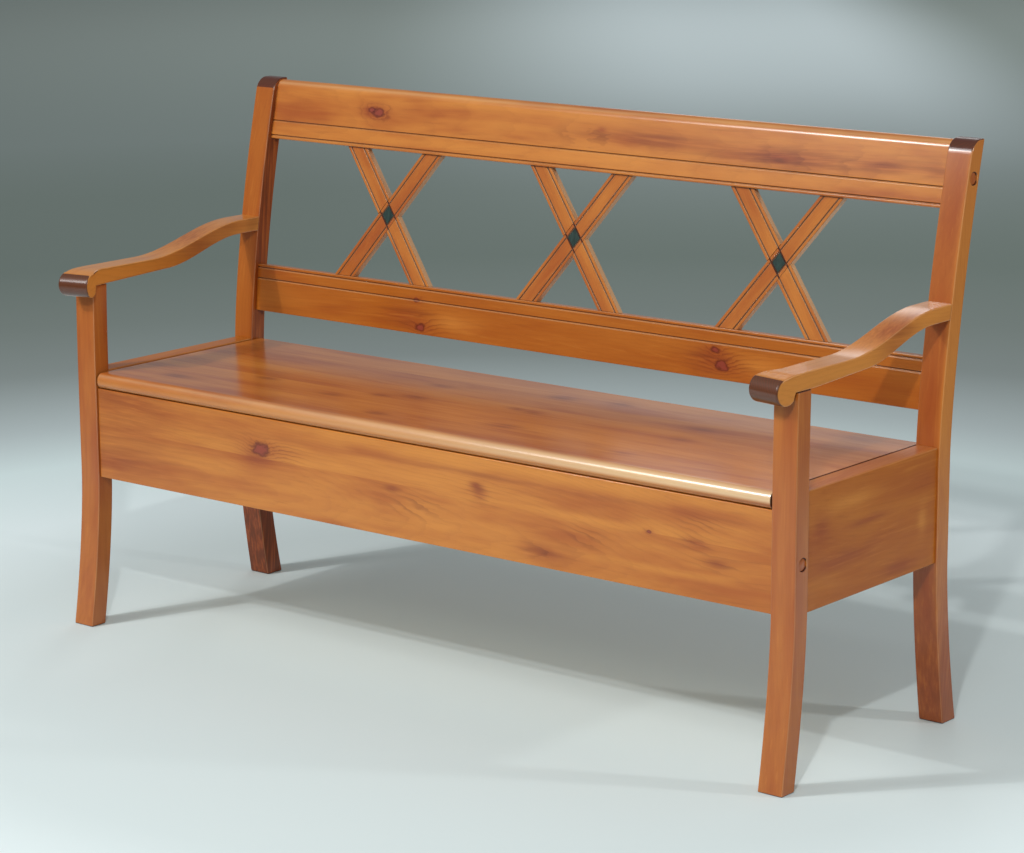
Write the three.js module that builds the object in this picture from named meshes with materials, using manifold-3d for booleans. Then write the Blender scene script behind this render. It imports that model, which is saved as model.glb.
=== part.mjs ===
import * as THREE from "three";
import { mergeVertices } from "three/addons/utils/BufferGeometryUtils.js";
import Module from "manifold-3d";

// Settle bench: a wooden two-seater with a lift-up seat lid over a storage box,
// scrolled arms, sabre-curved posts and three half-lapped crosses in its back.
// Millimetres, +Z up. X runs along the bench and Y from front to back.
// Heights start at the floor, depths at the front face of the front legs.

const wasm = await Module();
wasm.setup();

// The whole bench
const benchLength = 1500;
const benchHeight = 917;
const boxBottom = 266;
const sideTop = 450.5;
const slipGap = 0.3;
const cutOverrun = 4;
const curveSteps = 9;
const roundSides = 20;

// Legs and back posts
const postWidth = 44;
const postDepth = 33;
const postEase = 2;
const backPostDepth = 390;
const frontFootSweep = 28;
const backFootSweep = 29;
const backHeelSweep = 34;
const footPower = 1.6;
const legTopLean = 2;
const rakeStart = 430;
const backRake = 77;
const rakePower = 1.52;
const postTopRound = 20;

// Arms
const armRise = 42;
const armUnderside = 602.5;
const armFrontThickness = 27;
const armRearThickness = 25;
const armInnerOverhang = 1.5;
const armSeatDepth = 45;
const armUndersideRise = 5.5;
const topSwellStartShare = 0.359;
const topSwellEndShare = 0.9615;
const underSwellStartShare = 0.4487;
const underSwellEndShare = 0.9359;
const noseRadius = 20.5;
const noseCentreDepth = -19.5;
const noseCentreDrop = 24;
const noseTurnShare = 0.22;
const noseTurnStart = 25;
const noseFlare = 12.5;
const noseFlareStart = -25;
const noseFlareEnd = 25;

// Seat box
const apronSetback = 4.5;
const apronThickness = 22;
const apronDrop = 1.5;
const backApronThickness = 20;
const sideThickness = 38;
const sideSetback = 4;
const sideEase = 3;
const sideProud = 1.5;
const bottomThickness = 9;
const bottomPlay = 1;
const cleatSize = 18;

// Seat lid
const lidThickness = 27;
const lidLift = 0.5;
const lidFrontDepth = 1;
const lidEndGap = 3;
const lidTopRound = 13;
const lidBottomRound = 8;

// Back rails and crosses
const railSetback = 9;
const railThickness = 22;
const topRailHeight = 106;
const lowerRailBottom = 502;
const lowerRailTop = 585.5;
const grooveWidth = 4;
const grooveDepth = 2;
const topRailLowGroove = 5.5;
const topRailHighGroove = 32;
const lowerRailHighGroove = 6;
const lowerRailLowGroove = 25.5;
const railTopRound = 10.5;
const crossEndMargin = 291.5;
const crossHalfRun = 87.5;
const slatWidth = 36;
const slatThickness = 12;
const slatSetback = 6;
const slatGrooveInset = 6.5;
const slatGrooveWidth = 3;
const slatGrooveDepth = 1.5;
const inlayThickness = 2.5;

// Joinery
const tenonLength = 12;
const tenonThickness = 10;
const tenonShoulder = 12;
const apronTenonHeight = 110;
const sideTenonLength = 9;
const sideTenonHeight = 120;
const dowelRadius = 4;
const dowelReach = 18;
const apronDowelRise = 20.5;
const railDowelRise = 21;
const armDowelRadius = 5;
const boltRadius = 3;
const boltHole = 3.5;
const boltHeadRadius = 5.5;
const boltHeadLength = 4.5;
const boltLength = 72;
const boltTipRoom = 5;
const apronBoltRise = 79.5;
const apronBoltDepth = 18;
const railBoltRise = 47;
const plugRadius = 10;
const plugThickness = 7;
const plugRecess = 1.2;
const plugEase = 0.8;
const counterboreDepth = 14;
const nutRadius = 5;
const nutLength = 14;
const nutSetIn = 32;

// Hinges
const hingeEndMargin = 236;
const hingeLength = 70;
const leafThickness = 1.5;
const leafDepth = 18;
const barrelRadius = 3.2;
const barrelGap = 0.3;
const pinRadius = 1.6;
const pinPlay = 0.05;
const pinHeadRadius = 2.6;
const pinHeadLength = 1.2;
const knuckleGap = 0.25;

// Finishes
const pine = { color: 0xb9713f, roughness: 0.45, metalness: 0 };
const darkPine = { color: 0x8a4a26, roughness: 0.35, metalness: 0 };
const ply = { color: 0xc9a678, roughness: 0.7, metalness: 0 };
const inlayGreen = { color: 0x324b46, roughness: 0.4, metalness: 0 };
const steel = { color: 0x9a9a98, roughness: 0.35, metalness: 1 };
const brass = { color: 0xa98a4c, roughness: 0.35, metalness: 1 };
const beech = { color: 0xd0ae84, roughness: 0.7, metalness: 0 };

// Sizes that follow from those above
const halfLength = benchLength / 2;
const halfInside = halfLength - postWidth;
const postMiddle = halfLength - postWidth / 2;
const legTop = armUnderside;
const armTop = armUnderside + armFrontThickness;
const apronTop = sideTop - sideProud - lidThickness - lidLift;
const apronBottom = boxBottom - apronDrop;
const lidBottom = apronTop + lidLift;
const lidTop = lidBottom + lidThickness;
const lidRearDepth = backPostDepth + backApronThickness;
const sideOuter = halfLength - sideSetback;
const sideInner = sideOuter - sideThickness;
const apronRear = apronSetback + apronThickness;
const bottomLevel = boxBottom + cleatSize;
const topSwellStart = backPostDepth * topSwellStartShare;
const topSwellEnd = backPostDepth * topSwellEndShare;
const underSwellStart = backPostDepth * underSwellStartShare;
const underSwellEnd = backPostDepth * underSwellEndShare;
const topRailBottom = benchHeight - topRailHeight;
const crossSpacing = halfInside - crossEndMargin;
const hingeSpacing = 2 * (halfInside - hingeEndMargin);
const apronBoltHeight = apronBottom + apronBoltRise;
const apronDowelHeight = apronBottom + apronDowelRise;
const railBoltHeight = topRailBottom + railBoltRise;
const railDowelHeight = topRailBottom + railDowelRise;
const boltSeat = halfLength - counterboreDepth + slipGap;
const boltTip = boltSeat + boltHeadLength - boltLength;
const hingePinDepth = lidRearDepth + barrelRadius + barrelGap;
const hingePinHeight = apronTop + lidLift / 2;
const armHalfWidth = (postWidth + armInnerOverhang) / 2;
const armMiddle = halfLength - armHalfWidth;
const noseRun = noseTurnStart + noseRadius - noseCentreDepth;
const noseReach = noseRadius - noseCentreDepth + noseTurnShare * armHalfWidth;
const rearReach = backPostDepth + backRake + postDepth;
const middleDepth = (rearReach - noseReach) / 2;
const sides = [["left", -1], ["right", 1]];

const bench = new THREE.Group();
bench.position.y = -middleDepth;

function addPiece(name, geometry, finish) {
  const mesh = new THREE.Mesh(geometry, new THREE.MeshStandardMaterial(finish));
  mesh.name = name;
  bench.add(mesh);
}

// Extrusions: a drawn shape stands in depth and height, in length and height or in plan.
const axisX = new THREE.Vector3(1, 0, 0);
const axisY = new THREE.Vector3(0, 1, 0);
const axisZ = new THREE.Vector3(0, 0, 1);
const depthHeight = new THREE.Matrix4().makeBasis(axisY, axisZ, axisX);
const lengthHeight = new THREE.Matrix4().makeBasis(axisX, axisZ, axisY.clone().negate());

function extruded(shape, depth, ease) {
  return new THREE.ExtrudeGeometry(shape, {
    depth: depth - 2 * ease,
    bevelEnabled: ease > 0,
    bevelThickness: ease,
    bevelSize: ease,
    bevelOffset: -ease,
    bevelSegments: 1,
    curveSegments: curveSteps,
  });
}

function acrossX(shape, x0, x1, ease = 0) {
  const geometry = extruded(shape, Math.abs(x1 - x0), ease);
  geometry.applyMatrix4(depthHeight);
  geometry.translate(Math.min(x0, x1) + ease, 0, 0);
  return geometry;
}

function acrossY(shape, y0, y1, ease = 0) {
  const geometry = extruded(shape, y1 - y0, ease);
  geometry.applyMatrix4(lengthHeight);
  geometry.translate(0, y1 - ease, 0);
  return geometry;
}

function upZ(shape, z0, z1) {
  const geometry = extruded(shape, z1 - z0, 0);
  geometry.translate(0, 0, z0);
  return geometry;
}

function outline(points) {
  return new THREE.Shape(points.map(([a, b]) => new THREE.Vector2(a, b)));
}

function block(x0, x1, y0, y1, z0, z1) {
  const geometry = new THREE.BoxGeometry(Math.abs(x1 - x0), y1 - y0, z1 - z0);
  geometry.translate((x0 + x1) / 2, (y0 + y1) / 2, (z0 + z1) / 2);
  return geometry;
}

// A round bar from one point towards another.
function rod(radius, from, to) {
  const start = new THREE.Vector3(...from);
  const end = new THREE.Vector3(...to);
  const along = end.clone().sub(start);
  const geometry = new THREE.CylinderGeometry(radius, radius, along.length(), roundSides);
  const turn = new THREE.Quaternion().setFromUnitVectors(axisY, along.normalize());
  geometry.applyQuaternion(turn);
  geometry.translate(...start.add(end).multiplyScalar(0.5).toArray());
  return geometry;
}

// A turned piece drawn as radius and distance, lying along X from x0 towards the side's outside.
function turned(profile, side, x0, y, z) {
  const points = profile.map(([radius, distance]) => new THREE.Vector2(radius, distance));
  const geometry = new THREE.LatheGeometry(points, roundSides);
  geometry.rotateZ(-side * Math.PI / 2);
  geometry.translate(x0, y, z);
  return geometry;
}

function solid(geometry) {
  const bare = geometry.clone();
  bare.deleteAttribute("normal");
  bare.deleteAttribute("uv");
  const merged = mergeVertices(bare);
  const mesh = new wasm.Mesh({
    numProp: 3,
    vertProperties: merged.attributes.position.array,
    triVerts: Uint32Array.from(merged.index.array),
  });
  return new wasm.Manifold(mesh);
}

function geometryOf(body) {
  const mesh = body.getMesh();
  const geometry = new THREE.BufferGeometry();
  geometry.setAttribute("position", new THREE.BufferAttribute(mesh.vertProperties, mesh.numProp));
  geometry.setIndex(new THREE.BufferAttribute(mesh.triVerts, 1));
  geometry.computeVertexNormals();
  return geometry;
}

function cut(geometry, ...tools) {
  return geometryOf(tools.reduce((body, tool) => body.subtract(solid(tool)), solid(geometry)));
}

function joined(geometry, ...others) {
  return geometryOf(others.reduce((body, other) => body.add(solid(other)), solid(geometry)));
}

function common(a, b) {
  return geometryOf(solid(a).intersect(solid(b)));
}

// The curves of the legs and posts, as depths at a height.
function footShare(height) {
  return (Math.max(boxBottom - height, 0) / boxBottom) ** footPower;
}

function legFront(height) {
  const lean = (Math.max(height - sideTop, 0) / (legTop - sideTop)) ** 2;
  return legTopLean * lean - frontFootSweep * footShare(height);
}

function postFront(height) {
  const rake = (Math.max(height - rakeStart, 0) / (benchHeight - rakeStart)) ** rakePower;
  return backPostDepth + backRake * rake + backFootSweep * footShare(height);
}

function postBack(height) {
  return postFront(height) + postDepth + (backHeelSweep - backFootSweep) * footShare(height);
}

function heights(low, high) {
  return Array.from({ length: curveSteps + 1 }, (_, i) => low + (high - low) * i / curveSteps);
}

// A board that leans with the posts: places on it are a rise along its face and a depth into it.
function leaningBoard(bottom, top, setback) {
  const low = new THREE.Vector2(postFront(bottom) + setback, bottom);
  const high = new THREE.Vector2(postFront(top) + setback, top);
  const rise = high.clone().sub(low).normalize();
  const into = new THREE.Vector2(rise.y, -rise.x);
  const length = high.distanceTo(low);
  const lean = Math.atan2(rise.x, rise.y);
  const at = (along, deep) => low.clone().addScaledVector(rise, along).addScaledVector(into, deep);
  const riseTo = (height, deep) => (height - low.y - deep * into.y) / rise.y;
  return { at, length, lean, riseTo };
}

function boardOutline(board, points) {
  return new THREE.Shape(points.map(([along, deep]) => board.at(along, deep)));
}

function boardBlock(board, low, high, front, rear, x0, x1) {
  return acrossX(boardOutline(board, [[low, front], [low, rear], [high, rear], [high, front]]), x0, x1);
}

function grooved(grooves) {
  return grooves.flatMap((rise) => [
    [rise - grooveWidth / 2, 0],
    [rise, grooveDepth],
    [rise + grooveWidth / 2, 0],
  ]);
}

const topRail = leaningBoard(topRailBottom, topRailBottom + topRailHeight, railSetback);
const lowerRail = leaningBoard(lowerRailBottom, lowerRailTop, railSetback);

// Places that two pieces share: bolts, dowels and tenons
const lowerTenon = {
  low: tenonShoulder,
  high: lowerRail.length - tenonShoulder,
  front: (railThickness - tenonThickness) / 2,
  rear: (railThickness + tenonThickness) / 2,
};
const apronTenonLow = (apronBottom + apronTop - apronTenonHeight) / 2;
const apronTenonFront = backPostDepth + (backApronThickness - tenonThickness) / 2;
const panelFront = postDepth - sideTenonLength;
const panelRear = backPostDepth + sideTenonLength;
const sideTenonLow = sideTop - tenonShoulder - sideTenonHeight;
const sideTenonInner = (sideInner + sideOuter - tenonThickness) / 2;
const railBoltDepth = postFront(railBoltHeight) + postDepth / 2;
const railDowelDepth = postFront(railDowelHeight) + postDepth / 2;
const armRearDepth = postFront(armTop + armRise - armRearThickness / 2);
const armRearMiddle = armTop + armRise - armRearThickness / 2;
const bolts = [
  { name: "front", y: apronBoltDepth, z: apronBoltHeight },
  { name: "back", y: railBoltDepth, z: railBoltHeight },
];

function boltBore(side, bolt) {
  const end = side * (boltTip - boltTipRoom);
  return rod(boltHole, [end, bolt.y, bolt.z], [side * (halfLength + cutOverrun), bolt.y, bolt.z]);
}

function boltPocket(side, bolt) {
  const floor = side * (halfLength - counterboreDepth);
  const mouth = side * (halfLength + cutOverrun);
  return rod(plugRadius + slipGap, [floor, bolt.y, bolt.z], [mouth, bolt.y, bolt.z]);
}

function nutRod(side, bolt, lean, radius, front, rear) {
  const x = side * (halfInside - nutSetIn);
  const place = (deep) => [x, bolt.y + deep * Math.cos(lean), bolt.z - deep * Math.sin(lean)];
  return rod(radius, place(front), place(rear));
}

function crossDowel(side, y, z, play) {
  const reach = dowelReach + play;
  return rod(dowelRadius + play, [side * (halfInside - reach), y, z], [side * (halfInside + reach), y, z]);
}

function legDowel(side, play) {
  const y = legFront(legTop) + postDepth / 2;
  const reach = dowelReach + play;
  const x = side * postMiddle;
  return rod(armDowelRadius + play, [x, y, legTop - reach], [x, y, legTop + reach]);
}

function armDowel(side, play) {
  const reach = dowelReach + play;
  const x = side * postMiddle;
  const front = [x, armRearDepth - reach, armRearMiddle];
  const rear = [x, armRearDepth + reach, armRearMiddle];
  return rod(dowelRadius + play, front, rear);
}

function sideTenon(side, front, rear, play) {
  return block(
    side * (sideTenonInner - play),
    side * (sideTenonInner + tenonThickness + play),
    front - play,
    rear + play,
    sideTenonLow - play,
    sideTenonLow + sideTenonHeight + play,
  );
}

function apronTenon(side, play) {
  return block(
    side * halfInside,
    side * (halfInside + tenonLength + play),
    apronTenonFront - play,
    apronTenonFront + tenonThickness + play,
    apronTenonLow - play,
    apronTenonLow + apronTenonHeight + play,
  );
}

function railTenon(side, play) {
  const { low, high, front, rear } = lowerTenon;
  const tip = side * (halfInside + tenonLength + play);
  return boardBlock(lowerRail, low - play, high + play, front - play, rear + play, side * halfInside, tip);
}

// Front legs: upright beside the box, swept forward to the foot and leaning back under the arm.
function frontLeg(side) {
  const low = heights(0, boxBottom);
  const high = heights(sideTop, legTop);
  const up = [...low, ...high];
  const down = [...up].reverse();
  const shape = outline([
    ...up.map((z) => [legFront(z), z]),
    ...down.map((z) => [legFront(z) + postDepth, z]),
  ]);
  const [bolt] = bolts;
  return cut(
    acrossX(shape, side * halfInside, side * halfLength, postEase),
    boltBore(side, bolt),
    boltPocket(side, bolt),
    crossDowel(side, apronBoltDepth, apronDowelHeight, slipGap),
    sideTenon(side, panelFront, postDepth, slipGap),
    legDowel(side, slipGap),
  );
}

// Back posts: one curved board from the swept foot to the raked, round-edged top.
function backPost(side) {
  const roundStart = benchHeight - postTopRound;
  const up = [...heights(0, boxBottom), ...heights(rakeStart, roundStart)];
  const down = [...up, benchHeight].reverse();
  const shape = new THREE.Shape(up.map((z) => new THREE.Vector2(postFront(z), z)));
  const crown = postFront(roundStart) + postTopRound;
  shape.absarc(crown, roundStart, postTopRound, Math.PI, Math.PI / 2, true);
  down.forEach((z) => shape.lineTo(postBack(z), z));
  const [, bolt] = bolts;
  return cut(
    acrossX(shape, side * halfInside, side * halfLength, postEase),
    boltBore(side, bolt),
    boltPocket(side, bolt),
    crossDowel(side, railDowelDepth, railDowelHeight, slipGap),
    sideTenon(side, backPostDepth, panelRear, slipGap),
    apronTenon(side, slipGap),
    railTenon(side, slipGap),
    armDowel(side, slipGap),
  );
}

// Arms: the scrolled side outline met by the flared plan.
function swell(share) {
  return (1 - Math.cos(Math.PI * share)) / 2;
}

function shares() {
  return Array.from({ length: curveSteps + 1 }, (_, i) => i / curveSteps);
}

function armProfile() {
  const rearTop = armTop + armRise;
  const rearBottom = rearTop - armRearThickness;
  const underStart = armUnderside + armUndersideRise;
  const noseHeight = armTop - noseCentreDrop;
  const shape = new THREE.Shape();
  shape.moveTo(postFront(rearBottom) - slipGap, rearBottom);
  shares().reverse().forEach((share) => {
    const depth = underSwellStart + (underSwellEnd - underSwellStart) * share;
    shape.lineTo(depth, underStart + (rearBottom - underStart) * swell(share));
  });
  shape.lineTo(armSeatDepth, armUnderside);
  shape.lineTo(0, armUnderside);
  const coveEnd = -Math.PI / 4;
  const coveDepth = noseCentreDepth + noseRadius * Math.cos(coveEnd);
  const coveHeight = noseHeight + noseRadius * Math.sin(coveEnd);
  shape.quadraticCurveTo(coveDepth / 2, armUnderside, coveDepth, coveHeight);
  shape.absarc(noseCentreDepth, noseHeight, noseRadius, coveEnd, Math.PI / 2 - 2 * Math.PI, true);
  shape.quadraticCurveTo(noseCentreDepth / 2, armTop, noseRadius, armTop);
  shares().forEach((share) => {
    const depth = topSwellStart + (topSwellEnd - topSwellStart) * share;
    shape.lineTo(depth, armTop + armRise * swell(share));
  });
  shape.lineTo(postFront(rearTop) - slipGap, rearTop);
  return shape;
}

function armPlan(side) {
  const inner = halfInside - armInnerOverhang;
  const flare = shares().map((share) => [
    side * (inner - noseFlare * swell(1 - share)),
    noseFlareStart + (noseFlareEnd - noseFlareStart) * share,
  ]);
  return outline([
    [side * (inner - noseFlare), -noseReach - cutOverrun],
    ...flare,
    [side * inner, rearReach],
    [side * halfLength, rearReach],
    [side * halfLength, -noseReach - cutOverrun],
  ]);
}

// The front end curves in towards the seat, and its sections turn with it.
function curvedIn(geometry, side) {
  const places = geometry.getAttribute("position");
  for (let i = 0; i < places.count; i += 1) {
    const run = Math.max(noseTurnStart - places.getY(i), 0);
    const slope = noseTurnShare * run / noseRun;
    const aside = side * places.getX(i) - armMiddle;
    places.setX(i, places.getX(i) - side * slope * run / 2);
    places.setY(i, places.getY(i) - aside * slope);
  }
  return geometry;
}

function arm(side) {
  const inner = side * (halfInside - armInnerOverhang - noseFlare - cutOverrun);
  const outer = side * (halfLength + cutOverrun);
  const profile = acrossX(armProfile(), inner, outer);
  const plan = upZ(armPlan(side), armUnderside - 2 * noseRadius, armTop + armRise + cutOverrun);
  return cut(curvedIn(common(profile, plan), side), legDowel(side, slipGap), armDowel(side, slipGap));
}

// Side panels: thick boards between leg and post, set in from the posts' outer faces.
function sidePanel(side) {
  const easedSection = outline([
    [side * sideInner, boxBottom + sideEase],
    [side * (sideInner + sideEase), boxBottom],
    [side * (sideOuter - sideEase), boxBottom],
    [side * sideOuter, boxBottom + sideEase],
    [side * sideOuter, sideTop - sideEase],
    [side * (sideOuter - sideEase), sideTop],
    [side * (sideInner + sideEase), sideTop],
    [side * sideInner, sideTop - sideEase],
  ]);
  return joined(acrossY(easedSection, postDepth, backPostDepth), sideTenon(side, panelFront, panelRear, 0));
}

function frontApron() {
  const board = block(-halfInside, halfInside, apronSetback, apronRear, apronBottom, apronTop);
  const [bolt] = bolts;
  const nutFront = -nutLength / 2;
  const nutMouth = apronRear - apronBoltDepth + cutOverrun;
  const cuts = sides.flatMap(([, side]) => [
    boltBore(side, bolt),
    nutRod(side, bolt, 0, nutRadius + slipGap, nutFront, nutMouth),
    crossDowel(side, apronBoltDepth, apronDowelHeight, slipGap),
  ]);
  return cut(board, ...cuts);
}

function leafSeat(middle, low, high) {
  const half = hingeLength / 2 + slipGap;
  const inner = lidRearDepth - leafDepth - slipGap;
  return block(middle - half, middle + half, inner, lidRearDepth + cutOverrun, low, high);
}

function hingeMiddles() {
  return [["left", -hingeSpacing / 2], ["right", hingeSpacing / 2]];
}

function backApron() {
  const board = block(-halfInside, halfInside, backPostDepth, lidRearDepth, apronBottom, apronTop);
  const tenons = sides.map(([, side]) => apronTenon(side, 0));
  const seatLow = apronTop - leafThickness - slipGap;
  const seats = hingeMiddles().map(([, x]) => leafSeat(x, seatLow, apronTop + cutOverrun));
  return cut(joined(board, ...tenons), ...seats);
}

function bottomPanel() {
  const half = halfInside - bottomPlay;
  const front = apronRear + bottomPlay;
  const rear = backPostDepth - bottomPlay;
  return block(-half, half, front, rear, bottomLevel, bottomLevel + bottomThickness);
}

function longCleat(front) {
  const half = halfInside - bottomPlay;
  return block(-half, half, front, front + cleatSize, boxBottom, bottomLevel);
}

function sideCleat(side) {
  const front = apronRear + cleatSize;
  const rear = backPostDepth - cleatSize;
  const inner = side * (sideInner - cleatSize);
  return block(inner, side * sideInner, front, rear, boxBottom, bottomLevel);
}

// Seat lid: a board with a rounded front edge, seated on the aprons and hinged at its rear edge.
function seatLid() {
  const shape = new THREE.Shape();
  const frontTop = lidFrontDepth + lidTopRound;
  const frontBottom = lidFrontDepth + lidBottomRound;
  shape.moveTo(lidRearDepth, lidBottom);
  shape.lineTo(lidRearDepth, lidTop);
  shape.absarc(frontTop, lidTop - lidTopRound, lidTopRound, Math.PI / 2, Math.PI, false);
  shape.absarc(frontBottom, lidBottom + lidBottomRound, lidBottomRound, Math.PI, 1.5 * Math.PI, false);
  const seats = hingeMiddles().map(([, x]) =>
    leafSeat(x, lidBottom - cutOverrun, lidBottom + leafThickness + slipGap));
  const half = halfInside - lidEndGap;
  return cut(acrossX(shape, -half, half), ...seats);
}

// Top rail: rounded along its top edge, with two V-grooves low on its face.
function topRailBoard() {
  const crown = topRail.length - railTopRound;
  const front = [[0, 0], ...grooved([topRailLowGroove, topRailHighGroove])];
  const steps = shares().map((share) => Math.PI * share);
  const round = steps.map((angle) => [
    crown + railTopRound * Math.sin(angle),
    railThickness / 2 - railTopRound * Math.cos(angle),
  ]);
  const shoulders = [[crown, 0], ...round, [crown, railThickness]];
  const shape = boardOutline(topRail, [...front, ...shoulders, [0, railThickness]]);
  const [, bolt] = bolts;
  const nutMouth = railThickness + cutOverrun;
  const cuts = sides.flatMap(([, side]) => [
    boltBore(side, bolt),
    nutRod(side, bolt, topRail.lean, nutRadius + slipGap, -nutLength / 2 + nutRadius / 2, nutMouth),
    crossDowel(side, railDowelDepth, railDowelHeight, slipGap),
  ]);
  return cut(acrossX(shape, -halfInside, halfInside), ...cuts);
}

function lowerRailBoard() {
  const grooves = [lowerRailLowGroove, lowerRailHighGroove].map((drop) => lowerRail.length - drop);
  const face = [[0, 0], ...grooved(grooves), [lowerRail.length, 0]];
  const shape = boardOutline(lowerRail, [...face, [lowerRail.length, railThickness], [0, railThickness]]);
  return joined(
    acrossX(shape, -halfInside, halfInside),
    ...sides.map(([, side]) => railTenon(side, 0)),
  );
}

// Crosses: two slats half-lapped in one plane between the rails, with a diamond set in the lap.
const crossLow = new THREE.Vector2(postFront(lowerRailTop) + railSetback + slatSetback, lowerRailTop);
const crossHigh = new THREE.Vector2(postFront(topRailBottom) + railSetback + slatSetback, topRailBottom);
const crossLean = Math.atan2(crossHigh.x - crossLow.x, crossHigh.y - crossLow.y);
const crossHalfRise = crossHigh.distanceTo(crossLow) / 2;
const crossMiddle = crossLow.clone().add(crossHigh).multiplyScalar(0.5);
const slatAngle = Math.atan2(crossHalfRun, crossHalfRise);
const grooveAside = slatWidth / 2 - slatGrooveInset;

// Drawn flat, the face of a cross lies at depth zero and its thickness runs to positive depths.
function placeCross(geometry, x) {
  geometry.rotateX(-crossLean);
  geometry.translate(x, crossMiddle.x, crossMiddle.y);
  return geometry;
}

function crossPoint(hand, along, aside) {
  const run = along * Math.sin(slatAngle) + aside * Math.cos(slatAngle);
  const rise = along * Math.cos(slatAngle) - aside * Math.sin(slatAngle);
  return [hand * run, rise];
}

function slatStrip(hand, low, high, y0, y1) {
  const reach = 2 * crossHalfRise;
  const corners = [[-reach, low], [reach, low], [reach, high], [-reach, high]];
  return acrossY(outline(corners.map(([along, aside]) => crossPoint(hand, along, aside))), y0, y1);
}

function slatGroove(hand, aside) {
  const half = slatGrooveWidth / 2;
  const section = outline([
    [-half - half, -slatGrooveDepth],
    [half + half, -slatGrooveDepth],
    [0, slatGrooveDepth],
  ]);
  const reach = 2 * crossHalfRise;
  const geometry = extruded(section, 2 * reach, 0);
  geometry.translate(0, 0, -reach);
  geometry.translate(aside, 0, 0);
  geometry.rotateY(hand * slatAngle);
  return geometry;
}

// The diamond fills the field that the grooves of both slats enclose.
function diamond(play, y0, y1) {
  const halfField = grooveAside - slatGrooveWidth / 2 + play;
  const halfWidth = halfField / Math.cos(slatAngle);
  const halfHeight = halfField / Math.sin(slatAngle);
  return acrossY(outline([[halfWidth, 0], [0, halfHeight], [-halfWidth, 0], [0, -halfHeight]]), y0, y1);
}

// The slats run on into both rails and are then trimmed to the rails' facing edges.
function slat(hand, lapInFront, x) {
  const half = slatWidth / 2;
  const endRise = crossHalfRise + railThickness / 2;
  const window = block(-benchLength, benchLength, -cutOverrun, slatThickness + cutOverrun, -endRise, endRise);
  const strip = common(slatStrip(hand, -half, half, 0, slatThickness), window);
  const lapFloor = slatThickness / 2;
  const lapFront = lapInFront ? -cutOverrun : lapFloor - slipGap / 2;
  const lapRear = lapInFront ? lapFloor + slipGap / 2 : slatThickness + cutOverrun;
  const lap = slatStrip(-hand, -half - slipGap, half + slipGap, lapFront, lapRear);
  const groovesOf = (own) => [slatGroove(own, -grooveAside), slatGroove(own, grooveAside)];
  const grooves = lapInFront ? groovesOf(hand) : [...groovesOf(hand), ...groovesOf(-hand)];
  const seat = lapInFront ? [] : [diamond(slipGap, -cutOverrun, inlayThickness + slipGap)];
  const whole = placeCross(cut(strip, lap, ...grooves, ...seat), x);
  const span = [-slipGap, railThickness + slipGap, x - crossSpacing / 2, x + crossSpacing / 2];
  const above = boardBlock(topRail, -slipGap, topRail.length, ...span);
  const below = boardBlock(lowerRail, 0, lowerRail.length + slipGap, ...span);
  return cut(whole, above, below);
}

// Covered joint bolts: a barrel nut in the rail, a bolt through the post and a plug over its head.
function bolt(side, { y, z }) {
  const profile = [
    [0, boltHeadLength - boltLength],
    [boltRadius, boltHeadLength - boltLength],
    [boltRadius, 0],
    [boltHeadRadius, 0],
    [boltHeadRadius, boltHeadLength],
    [0, boltHeadLength],
  ];
  return turned(profile, side, side * boltSeat, y, z);
}

function plug(side, { y, z }) {
  const seat = halfLength - plugRecess - plugThickness;
  const profile = [
    [0, 0],
    [plugRadius, 0],
    [plugRadius, plugThickness - plugEase],
    [plugRadius - plugEase, plugThickness],
    [0, plugThickness],
  ];
  return turned(profile, side, side * seat, y, z);
}

function barrelNut(side, place, lean, front) {
  const body = nutRod(side, place, lean, nutRadius, front + slipGap, front + nutLength + slipGap);
  return cut(body, boltBore(side, place));
}

// Hinges: leaves let into the apron and the lid, with their knuckles and pin behind both.
function knuckles(middle, first) {
  const count = 5;
  const pitch = hingeLength / count;
  const start = middle - hingeLength / 2;
  const own = Array.from({ length: count }, (_, i) => i).filter((i) => i % 2 === first);
  return own.map((i) => [start + i * pitch + knuckleGap, start + (i + 1) * pitch - knuckleGap]);
}

function leaf(middle, first, low) {
  const half = hingeLength / 2;
  const inner = lidRearDepth - leafDepth;
  const plate = block(middle - half, middle + half, inner, lidRearDepth, low, low + leafThickness);
  const pin = [hingePinDepth, hingePinHeight];
  const wraps = knuckles(middle, first).flatMap(([x0, x1]) => [
    block(x0, x1, lidRearDepth - barrelGap, hingePinDepth, low, low + leafThickness),
    rod(barrelRadius, [x0, ...pin], [x1, ...pin]),
  ]);
  const bore = pinRadius + pinPlay;
  const reach = half + cutOverrun;
  return cut(joined(plate, ...wraps), rod(bore, [middle - reach, ...pin], [middle + reach, ...pin]));
}

function hingePin(middle) {
  const half = hingeLength / 2;
  const profile = [
    [0, -half - pinHeadLength],
    [pinHeadRadius, -half - pinHeadLength],
    [pinHeadRadius, -half],
    [pinRadius, -half],
    [pinRadius, half],
    [pinHeadRadius, half],
    [pinHeadRadius, half + pinHeadLength],
    [0, half + pinHeadLength],
  ];
  return turned(profile, 1, middle, hingePinDepth, hingePinHeight);
}

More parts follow.
